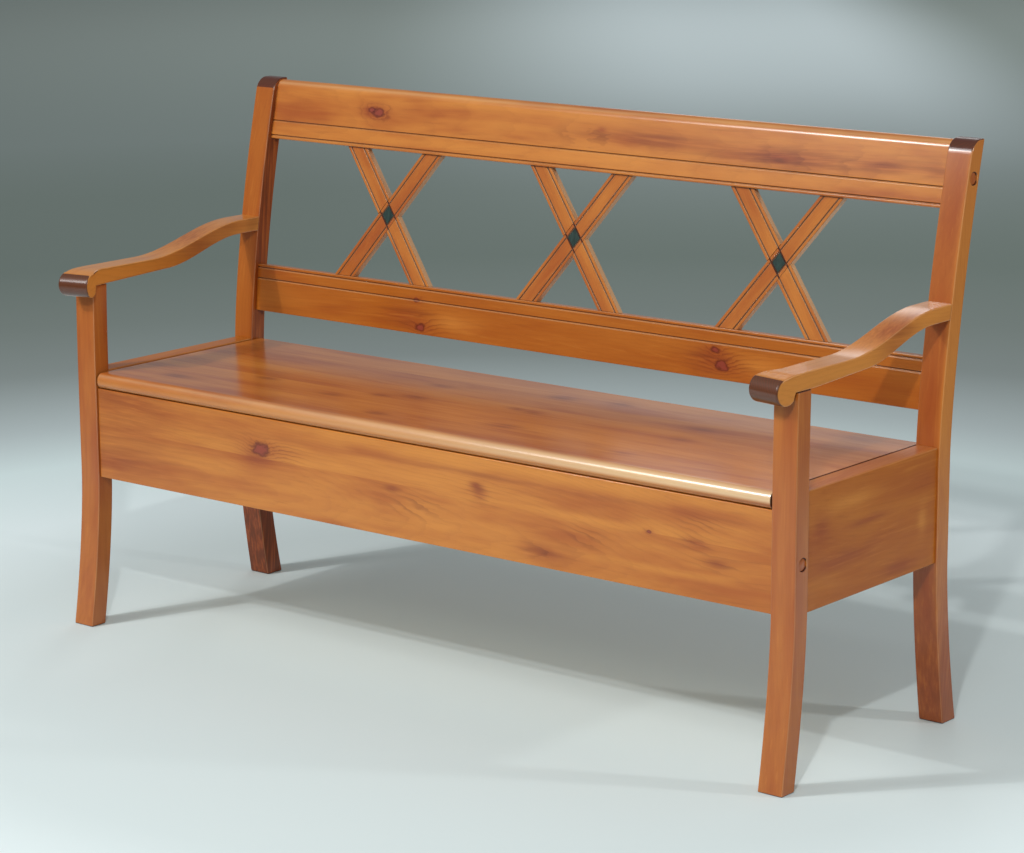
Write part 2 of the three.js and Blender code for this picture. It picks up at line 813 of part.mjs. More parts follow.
sides.forEach(([hand, side]) => {
  addPiece(`${hand}_front_leg`, frontLeg(side), pine);
  addPiece(`${hand}_back_post`, backPost(side), pine);
  addPiece(`${hand}_armrest`, arm(side), darkPine);
  addPiece(`${hand}_side_panel`, sidePanel(side), pine);
  addPiece(`${hand}_side_cleat`, sideCleat(side), pine);
  addPiece(`${hand}_leg_dowel`, legDowel(side, 0), beech);
  addPiece(`${hand}_arm_dowel`, armDowel(side, 0), beech);
  addPiece(`${hand}_apron_dowel`, crossDowel(side, apronBoltDepth, apronDowelHeight, 0), beech);
  addPiece(`${hand}_rail_dowel`, crossDowel(side, railDowelDepth, railDowelHeight, 0), beech);
  bolts.forEach((place) => {
    addPiece(`${hand}_${place.name}_bolt`, bolt(side, place), steel);
    addPiece(`${hand}_${place.name}_plug`, plug(side, place), darkPine);
  });
  const railNutFront = -nutLength / 2 + nutRadius / 2;
  addPiece(`${hand}_front_barrel_nut`, barrelNut(side, bolts[0], 0, -nutLength / 2), steel);
  addPiece(`${hand}_back_barrel_nut`, barrelNut(side, bolts[1], topRail.lean, railNutFront), steel);
});

addPiece("front_apron", frontApron(), pine);
addPiece("back_apron", backApron(), pine);
addPiece("bottom_panel", bottomPanel(), ply);
addPiece("front_cleat", longCleat(apronRear), pine);
addPiece("back_cleat", longCleat(backPostDepth - cleatSize), pine);
addPiece("seat_lid", seatLid(), pine);
addPiece("top_rail", topRailBoard(), pine);
addPiece("lower_rail", lowerRailBoard(), pine);

[["left", -crossSpacing], ["middle", 0], ["right", crossSpacing]].forEach(([place, x]) => {
  addPiece(`${place}_cross_rising_slat`, slat(1, false, x), pine);
  addPiece(`${place}_cross_falling_slat`, slat(-1, true, x), pine);
  addPiece(`${place}_diamond_inlay`, placeCross(diamond(0, 0, inlayThickness), x), inlayGreen);
});

hingeMiddles().forEach(([hand, x]) => {
  addPiece(`${hand}_hinge_fixed_leaf`, leaf(x, 0, apronTop - leafThickness), brass);
  addPiece(`${hand}_hinge_moving_leaf`, leaf(x, 1, lidBottom), brass);
  addPiece(`${hand}_hinge_pin`, hingePin(x), steel);
});

export default bench;
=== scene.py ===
import math
import bmesh
import bpy
from mathutils import Matrix, Vector


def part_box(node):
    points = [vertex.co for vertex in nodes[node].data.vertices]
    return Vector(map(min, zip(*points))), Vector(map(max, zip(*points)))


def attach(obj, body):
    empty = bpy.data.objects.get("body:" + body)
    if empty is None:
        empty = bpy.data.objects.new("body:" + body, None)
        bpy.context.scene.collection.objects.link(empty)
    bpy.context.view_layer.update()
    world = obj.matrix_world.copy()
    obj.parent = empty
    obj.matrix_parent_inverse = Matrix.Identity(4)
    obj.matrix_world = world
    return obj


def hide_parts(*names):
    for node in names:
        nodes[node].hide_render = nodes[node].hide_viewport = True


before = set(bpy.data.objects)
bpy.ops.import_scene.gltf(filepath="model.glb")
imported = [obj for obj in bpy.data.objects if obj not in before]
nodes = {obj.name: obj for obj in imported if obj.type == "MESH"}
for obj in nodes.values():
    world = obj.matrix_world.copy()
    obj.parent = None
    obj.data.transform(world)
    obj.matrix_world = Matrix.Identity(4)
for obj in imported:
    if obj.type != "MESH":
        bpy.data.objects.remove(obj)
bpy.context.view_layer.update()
print("frame loaded with", len(nodes), "nodes")

# Main sizes in metres. Depths in the dictionaries count from the front face of the front legs.
apronLow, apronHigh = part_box("front_apron")
panelLow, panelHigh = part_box("right_side_panel")
lidLow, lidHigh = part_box("seat_lid")
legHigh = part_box("right_front_leg")[1]
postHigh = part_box("right_back_post")[1]
apronSetback = 0.0045
bench = {
    "front": apronLow.y - apronSetback,
    "halfInside": apronHigh.x,
    "halfLength": legHigh.x,
    "height": postHigh.z,
    "boxBottom": panelLow.z,
    "sideTop": panelHigh.z,
    "legTop": legHigh.z,
    "postDepth": 0.033,
    "backPostDepth": 0.390,
    "railThickness": 0.022,
    "railSetback": 0.009,
    "lowerRail": (0.502, 0.5855),  # bottom and top
    "topRail": (0.811, 0.917),
}
sides = (("left", -1), ("right", 1))
places = (("left", -1), ("middle", 0), ("right", 1))

# Sweep of the feet and rake of the back
posture = {
    "frontFootSweep": 0.028,
    "backFootSweep": 0.029,
    "backHeelSweep": 0.034,
    "footPower": 1.6,
    "legTopLean": 0.002,
    "rakeStart": 0.430,
    "backRake": 0.077,
    "rakePower": 1.52,
}


def footShare(z):
    return (max(bench["boxBottom"] - z, 0) / bench["boxBottom"]) ** posture["footPower"]


def legFront(z):
    lean = max(z - bench["sideTop"], 0) / (bench["legTop"] - bench["sideTop"])
    return posture["legTopLean"] * lean ** 2 - posture["frontFootSweep"] * footShare(z)


def postFront(z):
    share = max(z - posture["rakeStart"], 0) / (bench["height"] - posture["rakeStart"])
    rake = posture["backRake"] * share ** posture["rakePower"]
    return bench["backPostDepth"] + rake + posture["backFootSweep"] * footShare(z)


def swell(share):
    return (1 - math.cos(math.pi * min(max(share, 0), 1))) / 2


# Shader kit: arithmetic on sockets, and one method that adds any other node


class Wire:
    def __init__(self, shader, socket):
        self.shader = shader
        self.socket = socket

    def maths(self, operation, *values):
        return self.shader.node("ShaderNodeMath", {"operation": operation}, dict(enumerate(values)))

    def __add__(self, other):
        return self.maths("ADD", self, other)

    def __sub__(self, other):
        return self.maths("SUBTRACT", self, other)

    def __rsub__(self, other):
        return self.maths("SUBTRACT", other, self)

    def __mul__(self, other):
        return self.maths("MULTIPLY", self, other)

    def __truediv__(self, other):
        return self.maths("DIVIDE", self, other)

    def __gt__(self, other):
        return self.maths("GREATER_THAN", self, other)

    __radd__ = __add__
    __rmul__ = __mul__

    def only(self, operation):
        return self.maths(operation, self)


def fillRamp(ramp, stops):
    while len(ramp.elements) < len(stops):
        ramp.elements.new(1)
    for element, (position, colour) in zip(ramp.elements, stops):
        element.position = position
        element.color = colour


class Shader:
    def __init__(self, name):
        self.material = bpy.data.materials.new(name)
        self.material.use_nodes = True
        self.tree = self.material.node_tree
        self.surface = self.tree.nodes["Principled BSDF"]

    def node(self, kind, settings=None, inputs=None, output=0):
        new = self.tree.nodes.new(kind)
        for key, value in (settings or {}).items():
            if key == "stops":
                fillRamp(new.color_ramp, value)
            else:
                setattr(new, key, value)
        for key, value in (inputs or {}).items():
            if isinstance(value, Wire):
                self.tree.links.new(value.socket, new.inputs[key])
            else:
                new.inputs[key].default_value = value
        return Wire(self, new.outputs[output])

    def objectPoint(self, turn=(0, 0, 0)):
        point = self.node("ShaderNodeTexCoord", output=3)
        if any(turn):
            point = self.node("ShaderNodeMapping", inputs={"Vector": point, "Rotation": turn})
        split = self.node("ShaderNodeSeparateXYZ", inputs={"Vector": point})
        return [Wire(self, split.socket.node.outputs[i]) for i in range(3)]

    def vector(self, x, y, z):
        return self.node("ShaderNodeCombineXYZ", inputs={"X": x, "Y": y, "Z": z})

    def noise(self, vector, scale=1, detail=2, roughness=0.5):
        inputs = {"Vector": vector, "Scale": scale, "Detail": detail, "Roughness": roughness}
        return self.node("ShaderNodeTexNoise", inputs=inputs)

    def smooth(self, value, low, high, toLow=0, toHigh=1):
        inputs = {"Value": value, 1: low, 2: high, 3: toLow, 4: toHigh}
        return self.node("ShaderNodeMapRange", {"interpolation_type": "SMOOTHSTEP"}, inputs)

    def mix(self, factor, a, b):
        inputs = {0: factor, 6: a, 7: b}
        return self.node("ShaderNodeMix", {"data_type": "RGBA"}, inputs, output=2)

    def attribute(self, name):
        return self.node("ShaderNodeAttribute", {"attribute_name": name}, output=2)

    def bump(self, height, strength, distance):
        inputs = {"Height": height, "Strength": strength, "Distance": distance}
        return self.node("ShaderNodeBump", inputs=inputs)

    def finish(self, **values):
        for key, value in values.items():
            socket = self.surface.inputs[key]
            if isinstance(value, Wire):
                self.tree.links.new(value.socket, socket)
            else:
                socket.default_value = value
        return self.material


def tint(red, green, blue):
    levels = [channel / 255 for channel in (red, green, blue)]
    linear = [((level + 0.055) / 1.055) ** 2.4 for level in levels]
    return (*linear, 1)


# Stained pine. A board's grain runs along one axis; its rings lie round a heart below the face.
stain = {
    "sap": tint(204, 130, 52),
    "honey": tint(166, 86, 27),
    "ochre": tint(160, 82, 6),
    "red": tint(148, 66, 25),
    "late": tint(112, 50, 14),
    # pale cream for eased edges and the lid's front round: worn stain and painted highlight
    "worn": tint(234, 206, 162),
    "knot": tint(92, 28, 14),
    "knotHeart": tint(148, 64, 46),
    "endGrain": tint(54, 21, 13),
    "groove": tint(70, 27, 12),
    "ringSpacing": 0.0042,
    "streakDark": 0.24,
    "streakPale": 0.22,
    "poreDark": 0.24,
    "haloDark": 0.5,
    "grooveDark": 0.8,
    "relief": (0.2, 0.0004),  # strength and depth of the bump
}
varnish = {"Specular IOR Level": 0.12, "Coat IOR": 1.55, "Coat Roughness": 0.18}
axes = {"X": 0, "Y": 1, "Z": 2}
plainBoard = {
    "along": "X",
    "across": "Z",
    "deep": "Y",
    "turn": (0, 0, 0),
    "heart": (0.02, 0.06),  # across and deep
    "start": 0,
    "drift": 0.03,
    "joints": (),
    "knots": (),  # along, across, radius
    "pale": (),  # along, across, half length, half width, strength
    "shade": (),
    "shadeDepth": 0.5,
    "figure": (),
    "sapwood": 0.5,
    "darkness": 0,
    "blotches": 0.35,
    "ochre": 0,
    # share of that cream on eased edges: partly worn stain, partly painted highlight along the
    # edges
    "worn": 0.2,
    "bare": (),  # spots of painted highlight, pale cream laid over the stain
    "bareFrom": (0, 0),  # levels of the deep axis between which the painted highlight sets in
    "coat": 0.75,
    "seed": 0,
}


# Soft spots with ragged outlines, added up
def softSpots(marks, along, across, ragged):
    total = 0
    for markAlong, markAcross, halfLength, halfWidth, *strength in marks:
        du = (along - markAlong) / halfLength + ragged
        dv = (across - markAcross) / halfWidth + ragged
        weight = strength[0] if strength else 1
        total = ((du * du + dv * dv) * -1).only("EXPONENT") * weight + total
    return total


def stainedPine(name, **changes):
    board = {**plainBoard, **changes}
    shader = Shader(name)
    point = shader.objectPoint(board["turn"])
    along, across, deep = (point[axes[board[key]]] for key in ("along", "across", "deep"))

    stave = 0
    for joint in board["joints"]:
        stave = (across > joint) + stave
    staveShift = stave * 0.37 + board["seed"]
    u = along - board["start"]
    long = u + staveShift * 3.1

    # Rings, pushed aside by each knot
    sway = shader.noise(shader.vector(long * 1.1, staveShift, 0.3), 1, 1) - 0.5
    rippled = shader.vector(long * 9, across * 32, deep * 32 + staveShift)
    ripple = shader.noise(rippled, 1, 3, 0.6) - 0.5
    v = across - board["heart"][0] + sway * 0.09 + staveShift * 0.011
    w = deep - board["heart"][1] + u * board["drift"] + sway * 0.06
    radius = (v * v + w * w).only("SQRT") + ripple * 0.011

    grit = shader.noise(shader.vector(along * 70, across * 130, deep * 130), 1, 2) * 1.6 - 0.8
    core = 0
    halo = 0
    heart = 0
    for knotAlong, knotAcross, size in board["knots"]:
        du = (along - knotAlong) / size
        dv = (across - knotAcross) / size
        near = (du * du * 0.4 + dv * dv + 0.01).only("SQRT") + ripple * 1.7 + grit
        radius = radius + (near * -0.6).only("EXPONENT") * (size * 1.8)
        core = shader.smooth(near, 1.3, 0.65) + core
        heart = shader.smooth(near, 0.75, 0.35) + heart
        halo = ((du * du * 0.05 + dv * dv * 0.35) * -1).only("EXPONENT") + halo

    figure = softSpots(board["figure"], along, across, ripple * 1.2) + halo
    pale = softSpots(board["pale"], along, across, ripple)
    shade = softSpots(board["shade"], along, across, ripple)

    phase = (radius / stain["ringSpacing"] + stave * 0.4).only("FRACT")
    late = shader.smooth(phase, 0.45, 0.92) * shader.smooth(phase, 1.0, 0.94)

    # Fibre, from broad bands of stain to single pores
    band = shader.noise(shader.vector(long * 1.3, v * 20, w * 20), 1, 3, 0.55)
    blotch = shader.noise(shader.vector(long * 6, across * 32, deep * 32 + staveShift), 1, 2, 0.55)
    streak = shader.noise(shader.vector(long * 5, v * 170, w * 170), 1, 3, 0.6)
    fibre = shader.noise(shader.vector(long * 16, v * 900, w * 900), 1, 2, 0.6)

    staveTone = shader.node("ShaderNodeMath", {"operation": "SINE"}, {0: staveShift * 7})
    warm = band * 0.6 + blotch * 0.4 + staveTone * 0.03
    tone = shader.smooth(warm - board["sapwood"] + 0.5, 0.27, 0.73)
    colour = shader.mix(tone, stain["sap"], stain["honey"])
    colour = shader.mix(board["ochre"], colour, stain["ochre"])
    redness = shader.smooth(warm + (blotch - 0.5) * 0.5, 0.5, 0.8) * board["blotches"]
    colour = shader.mix(redness + board["darkness"], colour, stain["red"])
    colour = shader.mix(pale * 0.65, colour, stain["sap"])
    colour = shader.mix(shade * 0.65, colour, stain["red"])
    shadeStreaks = shade * shader.smooth(streak, 0.35, 0.62) * board["shadeDepth"]
    colour = shader.mix(shadeStreaks, colour, stain["late"])
    colour = shader.mix(late * (figure * 0.4 + 0.07), colour, stain["late"])
    darkStreaks = shader.smooth(streak, 0.54, 0.82) * stain["streakDark"]
    colour = shader.mix(darkStreaks, colour, stain["late"])
    paleStreaks = shader.smooth(streak, 0.46, 0.24) * stain["streakPale"]
    colour = shader.mix(paleStreaks, colour, stain["sap"])
    colour = shader.mix(shader.smooth(fibre, 0.55, 0.9) * stain["poreDark"], colour, stain["late"])
    if board["knots"]:
        colour = shader.mix(halo * stain["haloDark"], colour, stain["red"])
        colour = shader.mix(core * 0.8, colour, stain["knot"])
        colour = shader.mix(heart * 0.7, colour, stain["knotHeart"])

    # Eased edges turn to pale cream: partly worn stain, partly a painted highlight along the
    # rounded edges
    eased = shader.smooth(shader.attribute("easedEdge"), 0.3, 0.95)
    colour = shader.mix(eased * board["worn"], colour, stain["worn"])
    # Painted highlight: pale cream spots, here the bright band along the lid's front round
    if board["bare"]:
        bare = softSpots(board["bare"], along, across, ripple * 0.3)
        colour = shader.mix(bare * shader.smooth(deep, *board["bareFrom"]), colour, stain["worn"])
    endGrain = shader.smooth(shader.attribute("endGrain"), 0.28, 0.45)
    endColour = shader.mix(late * 0.4 + fibre * 0.3, stain["endGrain"], stain["knot"])
    colour = shader.mix(endGrain * 0.92, colour, endColour)
    # Grooves darker: stain held in them, and painted shade in the recess
    groove = shader.attribute("groove")
    colour = shader.mix(groove * stain["grooveDark"], colour, stain["groove"])

    height = late * (figure * 0.3 + 0.12) + streak * 0.35 + fibre * 0.5
    return shader.finish(**{
        **varnish,
        "Base Color": colour,
        "Roughness": streak * 0.14 + 0.34 + endGrain * 0.05,
        "Coat Weight": board["coat"],
        "Normal": shader.bump(height, *stain["relief"]),
    })


# Modelling helpers


def block(low, high):
    bm = bmesh.new()
    bmesh.ops.create_cube(bm, size=1)
    bmesh.ops.scale(bm, vec=Vector(high) - Vector(low), verts=bm.verts)
    return shifted(bm, (Vector(high) + Vector(low)) / 2)


def rotated(bm, matrix, centre=(0, 0, 0)):
    bmesh.ops.rotate(bm, cent=centre, matrix=matrix, verts=bm.verts)
    return bm


def shifted(bm, step):
    bmesh.ops.translate(bm, vec=step, verts=bm.verts)
    return bm


def ease(bm, edges, radius, segments):
    left = [edge for edge in edges if edge.is_valid]
    bmesh.ops.bevel(bm, geom=left, offset=radius, segments=segments, profile=0.5,
                    affect="EDGES", material=-1, clamp_overlap=True)


def sharpEdges(bm, angle=60, shortest=0):
    return [edge for edge in bm.edges
            if len(edge.link_faces) == 2 and edge.calc_face_angle() > math.radians(angle)
            and edge.calc_length() >= shortest]


def slices(bm, normal, values):
    for value in values:
        geometry = bm.verts[:] + bm.edges[:] + bm.faces[:]
        bmesh.ops.bisect_plane(bm, geom=geometry, plane_co=Vector(normal) * value, plane_no=normal)


def trim(bm, point, normal):
    geometry = bm.verts[:] + bm.edges[:] + bm.faces[:]
    result = bmesh.ops.bisect_plane(bm, geom=geometry, plane_co=point, plane_no=normal,
                                    clear_outer=True)
    rim = [item for item in result["geom_cut"] if isinstance(item, bmesh.types.BMEdge)]
    bmesh.ops.edgeloop_fill(bm, edges=rim)


def extruded(outline, reach):
    bm = bmesh.new()
    face = bm.faces.new([bm.verts.new(point) for point in outline])
    result = bmesh.ops.extrude_face_region(bm, geom=[face])
    moved = [item for item in result["geom"] if isinstance(item, bmesh.types.BMVert)]
    bmesh.ops.translate(bm, vec=reach, verts=moved)
    bmesh.ops.recalc_face_normals(bm, faces=bm.faces)
    return bm


def turned(profile, place, axis, steps=40):
    bm = bmesh.new()
    verts = [bm.verts.new((radius, 0, distance)) for radius, distance in profile]
    edges = [bm.edges.new(pair) for pair in zip(verts, verts[1:])]
    bmesh.ops.spin(bm, geom=verts + edges, cent=(0, 0, 0), axis=(0, 0, 1), dvec=(0, 0, 0),
                   angle=2 * math.pi, steps=steps, use_merge=True, use_duplicate=False)
    bmesh.ops.remove_doubles(bm, verts=bm.verts, dist=0.000005)
    bmesh.ops.recalc_face_normals(bm, faces=bm.faces)
    turn = Vector((0, 0, 1)).rotation_difference(Vector(axis)).to_matrix().to_4x4()
    bmesh.ops.transform(bm, matrix=Matrix.Translation(place) @ turn, verts=bm.verts)
    return bm


def meshOf(name, bm):
    mesh = bpy.data.meshes.new(name)
    bm.to_mesh(mesh)
    bm.free()
    return mesh


def placed(name, data):
    piece = bpy.data.objects.new(name, data)
    bpy.context.collection.objects.link(piece)
    return piece


def carved(bm, *cutters):
    body, *tools = [placed("loose", meshOf("loose", part)) for part in (bm, *cutters)]
    for tool in tools:
        modifier = body.modifiers.new("carve", "BOOLEAN")
        modifier.object = tool
        modifier.solver = "EXACT"
    result = bmesh.new()
    result.from_object(body, bpy.context.evaluated_depsgraph_get())
    for piece in [body] + tools:
        bpy.data.meshes.remove(piece.data)
    bmesh.ops.remove_doubles(result, verts=result.verts, dist=0.000002)
    return result


def nodeCopy(name):
    bm = bmesh.new()
    bm.from_mesh(nodes[name].data)
    bmesh.ops.remove_doubles(bm, verts=bm.verts, dist=0.000002)
    bmesh.ops.dissolve_limit(bm, angle_limit=math.radians(1), verts=bm.verts, edges=bm.edges)
    return bm


def faceValue(mesh, name, values):
    layer = mesh.attributes.new(name, "FLOAT", "FACE")
    layer.data.foreach_set("value", values)


def noGroove(centre, normal):
    return 0


# Makes the object. Face attributes tell the stain where end grain, eased edges and grooves are; the
# groove value also carries the painted shade of each groove flank.
def makePiece(name, bm, material, body="bench", replaced=(), grain="X",
              grooved=noGroove):
    mesh = meshOf(name, bm)
    if isinstance(grain, str):
        grain = Vector([float(axis == grain) for axis in "XYZ"])
    faces = [(polygon.center.copy(), polygon.normal.copy()) for polygon in mesh.polygons]
    faceValue(mesh, "endGrain", [abs(normal.dot(grain)) for centre, normal in faces])
    faceValue(mesh, "easedEdge", [2 - 2 * max(map(abs, normal)) ** 2 for centre, normal in faces])
    faceValue(mesh, "groove", [float(grooved(centre, normal)) for centre, normal in faces])
    mesh.shade_smooth()
    mesh.set_sharp_from_angle(angle=math.radians(34))
    piece = placed(name, mesh)
    evenShading = piece.modifiers.new("evenShading", "WEIGHTED_NORMAL")
    evenShading.keep_sharp = True
    evenShading.weight = 100
    mesh.materials.append(material)
    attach(piece, body)
    if replaced:
        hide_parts(*replaced)
    return piece


# Legs and back posts
postShape = {
    "edgeRadius": 0.0024,
    "crownRadius": 0.020,
    "sliceHeight": 0.014,
    "plugRadius": 0.0103,
    "plugDepth": 0.014,
    "mouth": 0.0006,
    "frontPlug": (0.018, 0.344),  # depth and height
    "backPlugHeight": 0.858,
}
plugHeight = postShape["backPlugHeight"]
backPlug = (postFront(plugHeight) + bench["postDepth"] / 2, plugHeight)


def plugMouth(side, depth, height):
    radius = postShape["plugRadius"]
    mouth = postShape["mouth"]
    profile = [
        (0, -postShape["plugDepth"]),
        (radius, -postShape["plugDepth"]),
        (radius, -mouth),
        (radius + 3 * mouth, 2 * mouth),
        (0, 2 * mouth),
    ]
    place = (side * bench["halfLength"], bench["front"] + depth, height)
    return turned(profile, place, (side, 0, 0))


def curvedBoard(side, top, shift, heel, crown=0):
    inner, outer = sorted((side * bench["halfInside"], side * bench["halfLength"]))
    bm = block((inner, 0, 0), (outer, bench["postDepth"], top))
    if crown:
        corner = [edge for edge in bm.edges
                  if all(v.co.z > top / 2 and v.co.y < 0.001 for v in edge.verts)]
        ease(bm, corner, crown, 10)
    ease(bm, sharpEdges(bm), postShape["edgeRadius"], 4)
    count = int(top / postShape["sliceHeight"])
    slices(bm, (0, 0, 1), [top * (i + 0.5) / count for i in range(count)])
    for vertex in bm.verts:
        depth, height = vertex.co.y, vertex.co.z
        deeper = 1 + heel * footShare(height) / bench["postDepth"]
        vertex.co.y = bench["front"] + shift(height) + depth * deeper
    return bm


# Painted shade: each post's first shade mark, near the floor, darkens its lower end, most on the
# left
postMarks = {
    "left": {"darkness": 0.2, "ochre": 0.7, "shadeDepth": 0.8, "coat": 0.55,
             # the thin mark at 0.70 is painted shade on the left post's inner side face
             "shade": [(0.06, -0.735, 0.17, 0.2, 1.5), (0.70, -0.7035, 0.5, 0.005, 1.3)]},
    "right": {"darkness": 0.55, "ochre": 0.25, "shadeDepth": 0.4, "coat": 0.7,
              # pale: painted light, making the right post's outer side face paler
              "shade": [(0.06, 0.735, 0.17, 0.2)], "pale": [(0.62, 0.7530, 0.45, 0.006, 1.3)]},
}
for hand, side in sides:
    frontPine = stainedPine(f"{hand}LegPine", along="Z", across="X", deep="Y", seed=2 + side,
                            heart=(side * 0.70, -0.30), drift=0.02, darkness=0.4, blotches=0.12)
    backPine = stainedPine(f"{hand}PostPine", along="Z", across="X", deep="Y", seed=5 + side,
                           heart=(side * 0.76, 0.26), drift=-0.06, blotches=0.12, **postMarks[hand])
    leg = curvedBoard(side, bench["legTop"], legFront, 0)
    leg = carved(leg, plugMouth(side, *postShape["frontPlug"]))
    makePiece(f"{hand}FrontLeg", leg, frontPine, replaced=[f"{hand}_front_leg"], grain="Z")
    heel = posture["backHeelSweep"] - posture["backFootSweep"]
    post = curvedBoard(side, bench["height"], postFront, heel, postShape["crownRadius"])
    post = carved(post, plugMouth(side, *backPlug))
    makePiece(f"{hand}BackPost", post, backPine, replaced=[f"{hand}_back_post"], grain="Z")
print("legs and posts made")

# Plugs over the joint bolts: domed discs just below the face
plugShape = {"radius": 0.0099, "thickness": 0.007, "recess": 0.0012, "dome": 0.0007, "edge": 0.0009}
plugPine = stainedPine("plugPine", along="Z", across="Y", deep="X", seed=9, darkness=0.45,
                       sapwood=0.35)
for hand, side in sides:
    for place, (depth, height) in (("front", postShape["frontPlug"]), ("back", backPlug)):
        radius, edge = plugShape["radius"], plugShape["edge"]
        top = -plugShape["recess"] - plugShape["dome"]
        profile = [
            (0, top - plugShape["thickness"] + plugShape["dome"]),
            (radius, top - plugShape["thickness"] + plugShape["dome"]),
            (radius, top - edge),
            (radius - 0.3 * edge, top - 0.3 * edge),
            (radius - edge, top),
            (radius * 0.55, top + plugShape["dome"] * 0.75),
            (0, top + plugShape["dome"]),
        ]
        centre = (side * bench["halfLength"], bench["front"] + depth, height)
        makePiece(f"{hand}{place.title()}Plug", turned(profile, centre, (side, 0, 0)), plugPine,
                  replaced=[f"{hand}_{place}_plug"], grain="Z")

# Arms: one outline extruded across, flared at the nose on its inner side
armShape = {
    "underside": 0.6025,
    "frontThickness": 0.027,
    "rearThickness": 0.025,
    "rise": 0.042,
    "seatDepth": 0.045,
    "undersideRise": 0.0055,
    "topSwell": (0.140, 0.375),
    "underSwell": (0.175, 0.365),
    "noseRadius": 0.0205,
    "noseCentre": (-0.0195, 0.6055),
    "noseTurn": 0.22,
    "noseTurnStart": 0.025,
    "inner": bench["halfInside"] - 0.0015,
    "flare": 0.0125,
    "flareRun": (-0.025, 0.025),
    "edgeRadius": 0.0032,
    "steps": 26,
    "noseSteps": 29,
    "play": 0.0003,
}


def armOutline():
    a = armShape
    top = a["underside"] + a["frontThickness"]
    rearTop = top + a["rise"]
    rearBottom = rearTop - a["rearThickness"]
    steps = [i / a["steps"] for i in range(a["steps"] + 1)]
    points = []
    start, end = a["underSwell"]
    low = a["underside"] + a["undersideRise"]
    points.append((postFront(rearBottom) - a["play"], rearBottom))
    points += [(start + (end - start) * s, low + (rearBottom - low) * swell(s))
               for s in reversed(steps)]
    points += [(a["seatDepth"], a["underside"]), (0, a["underside"])]
    centreDepth, centreHeight = a["noseCentre"]
    radius = a["noseRadius"]
    reach = centreDepth + radius * math.cos(math.pi / 4)
    drop = centreHeight - radius * math.sin(math.pi / 4)
    for s in (0.2, 0.4, 0.6, 0.8):
        depth = 2 * s * (1 - s) * reach / 2 + s * s * reach
        points.append((depth, (1 - s * s) * a["underside"] + s * s * drop))
    for i in range(a["noseSteps"] + 1):
        angle = -math.pi / 4 - (5 * math.pi / 4) * i / a["noseSteps"]
        points.append((centreDepth + radius * math.cos(angle),
                       centreHeight + radius * math.sin(angle)))
    for s in (0.25, 0.5, 0.75, 1):
        depth = (1 - s) ** 2 * centreDepth + s * (1 - s) * centreDepth + s * s * radius
        points.append((depth, (1 - s) ** 2 * (centreHeight + radius) + (1 - (1 - s) ** 2) * top))
    start, end = a["topSwell"]
    points += [(start + (end - start) * s, top + a["rise"] * swell(s)) for s in steps]
    points.append((postFront(rearTop) - a["play"], rearTop))
    return points


# The front end curves in towards the seat, and its sections turn with it.
def curveIn(bm, side):
    middle = (armShape["inner"] + bench["halfLength"]) / 2
    start = armShape["noseTurnStart"]
    length = start + armShape["noseRadius"] - armShape["noseCentre"][0]
    for vertex in bm.verts:
        run = max(start - (vertex.co.y - bench["front"]), 0)
        slope = armShape["noseTurn"] * run / length
        aside = side * vertex.co.x - middle
        vertex.co.x -= side * slope * run / 2
        vertex.co.y -= aside * slope


for hand, side in sides:
    outline = [(side * armShape["inner"], bench["front"] + depth, height)
               for depth, height in armOutline()]
    width = bench["halfLength"] - armShape["inner"]
    arm = extruded(outline, (side * width, 0, 0))
    rims = [edge for edge in arm.edges if abs(edge.verts[0].co.x - edge.verts[1].co.x) < 1e-6]
    ease(arm, rims, armShape["edgeRadius"], 4)
    first, last = armShape["flareRun"]
    for vertex in arm.verts:
        share = (vertex.co.y - bench["front"] - first) / (last - first)
        inward = (bench["halfLength"] - abs(vertex.co.x)) / width
        vertex.co.x -= side * armShape["flare"] * swell(1 - share) * inward
    curveIn(arm, side)
    rise = (bench["front"] + 0.262, side * 0.73, 0.05, 0.04, 0.8)
    armPine = stainedPine(f"{hand}ArmPine", along="Y", across="X", deep="Z", seed=11 + side,
                          heart=(side * 0.73, 0.52), drift=0.05, sapwood=0.70, blotches=0.2,
                          ochre=0.05, shade=[rise], shadeDepth=0.4)
    makePiece(f"{hand}Armrest", arm, armPine, replaced=[f"{hand}_armrest"],
              grain="Y")
print("arms made")

# Side panels between leg and post
panelShape = {"edgeRadius": 0.003, "rear": 0.390, "inner": 0.708, "outer": 0.746}
front = bench["front"]
panelMarks = {
    "shade": [(front + 0.285, 0.283, 0.05, 0.012), (front + 0.07, 0.385, 0.02, 0.02),
              (front + 0.20, 0.376, 0.05, 0.006), (front + 0.13, 0.330, 0.09, 0.012)],
    "pale": [(front + 0.16, 0.415, 0.06, 0.010), (front + 0.35, 0.345, 0.012, 0.02)],
}
for hand, side in sides:
    inner, outer = sorted((side * panelShape["inner"], side * panelShape["outer"]))
    panel = block((inner, front + bench["postDepth"], bench["boxBottom"]),
                  (outer, front + panelShape["rear"], bench["sideTop"]))
    long = [edge for edge in panel.edges if abs(edge.verts[0].co.y - edge.verts[1].co.y) > 0.1]
    ease(panel, long, panelShape["edgeRadius"], 4)
    panelPine = stainedPine(f"{hand}PanelPine", along="Y", across="Z", deep="X", seed=14 + side,
                            heart=(0.40, side * 0.60), drift=0.06, joints=(0.334,),
                            shadeDepth=0.2, blotches=0.25, ochre=0.6, coat=0.3, **panelMarks)
    makePiece(f"{hand}SidePanel", panel, panelPine, replaced=[f"{hand}_side_panel"], grain="Y")

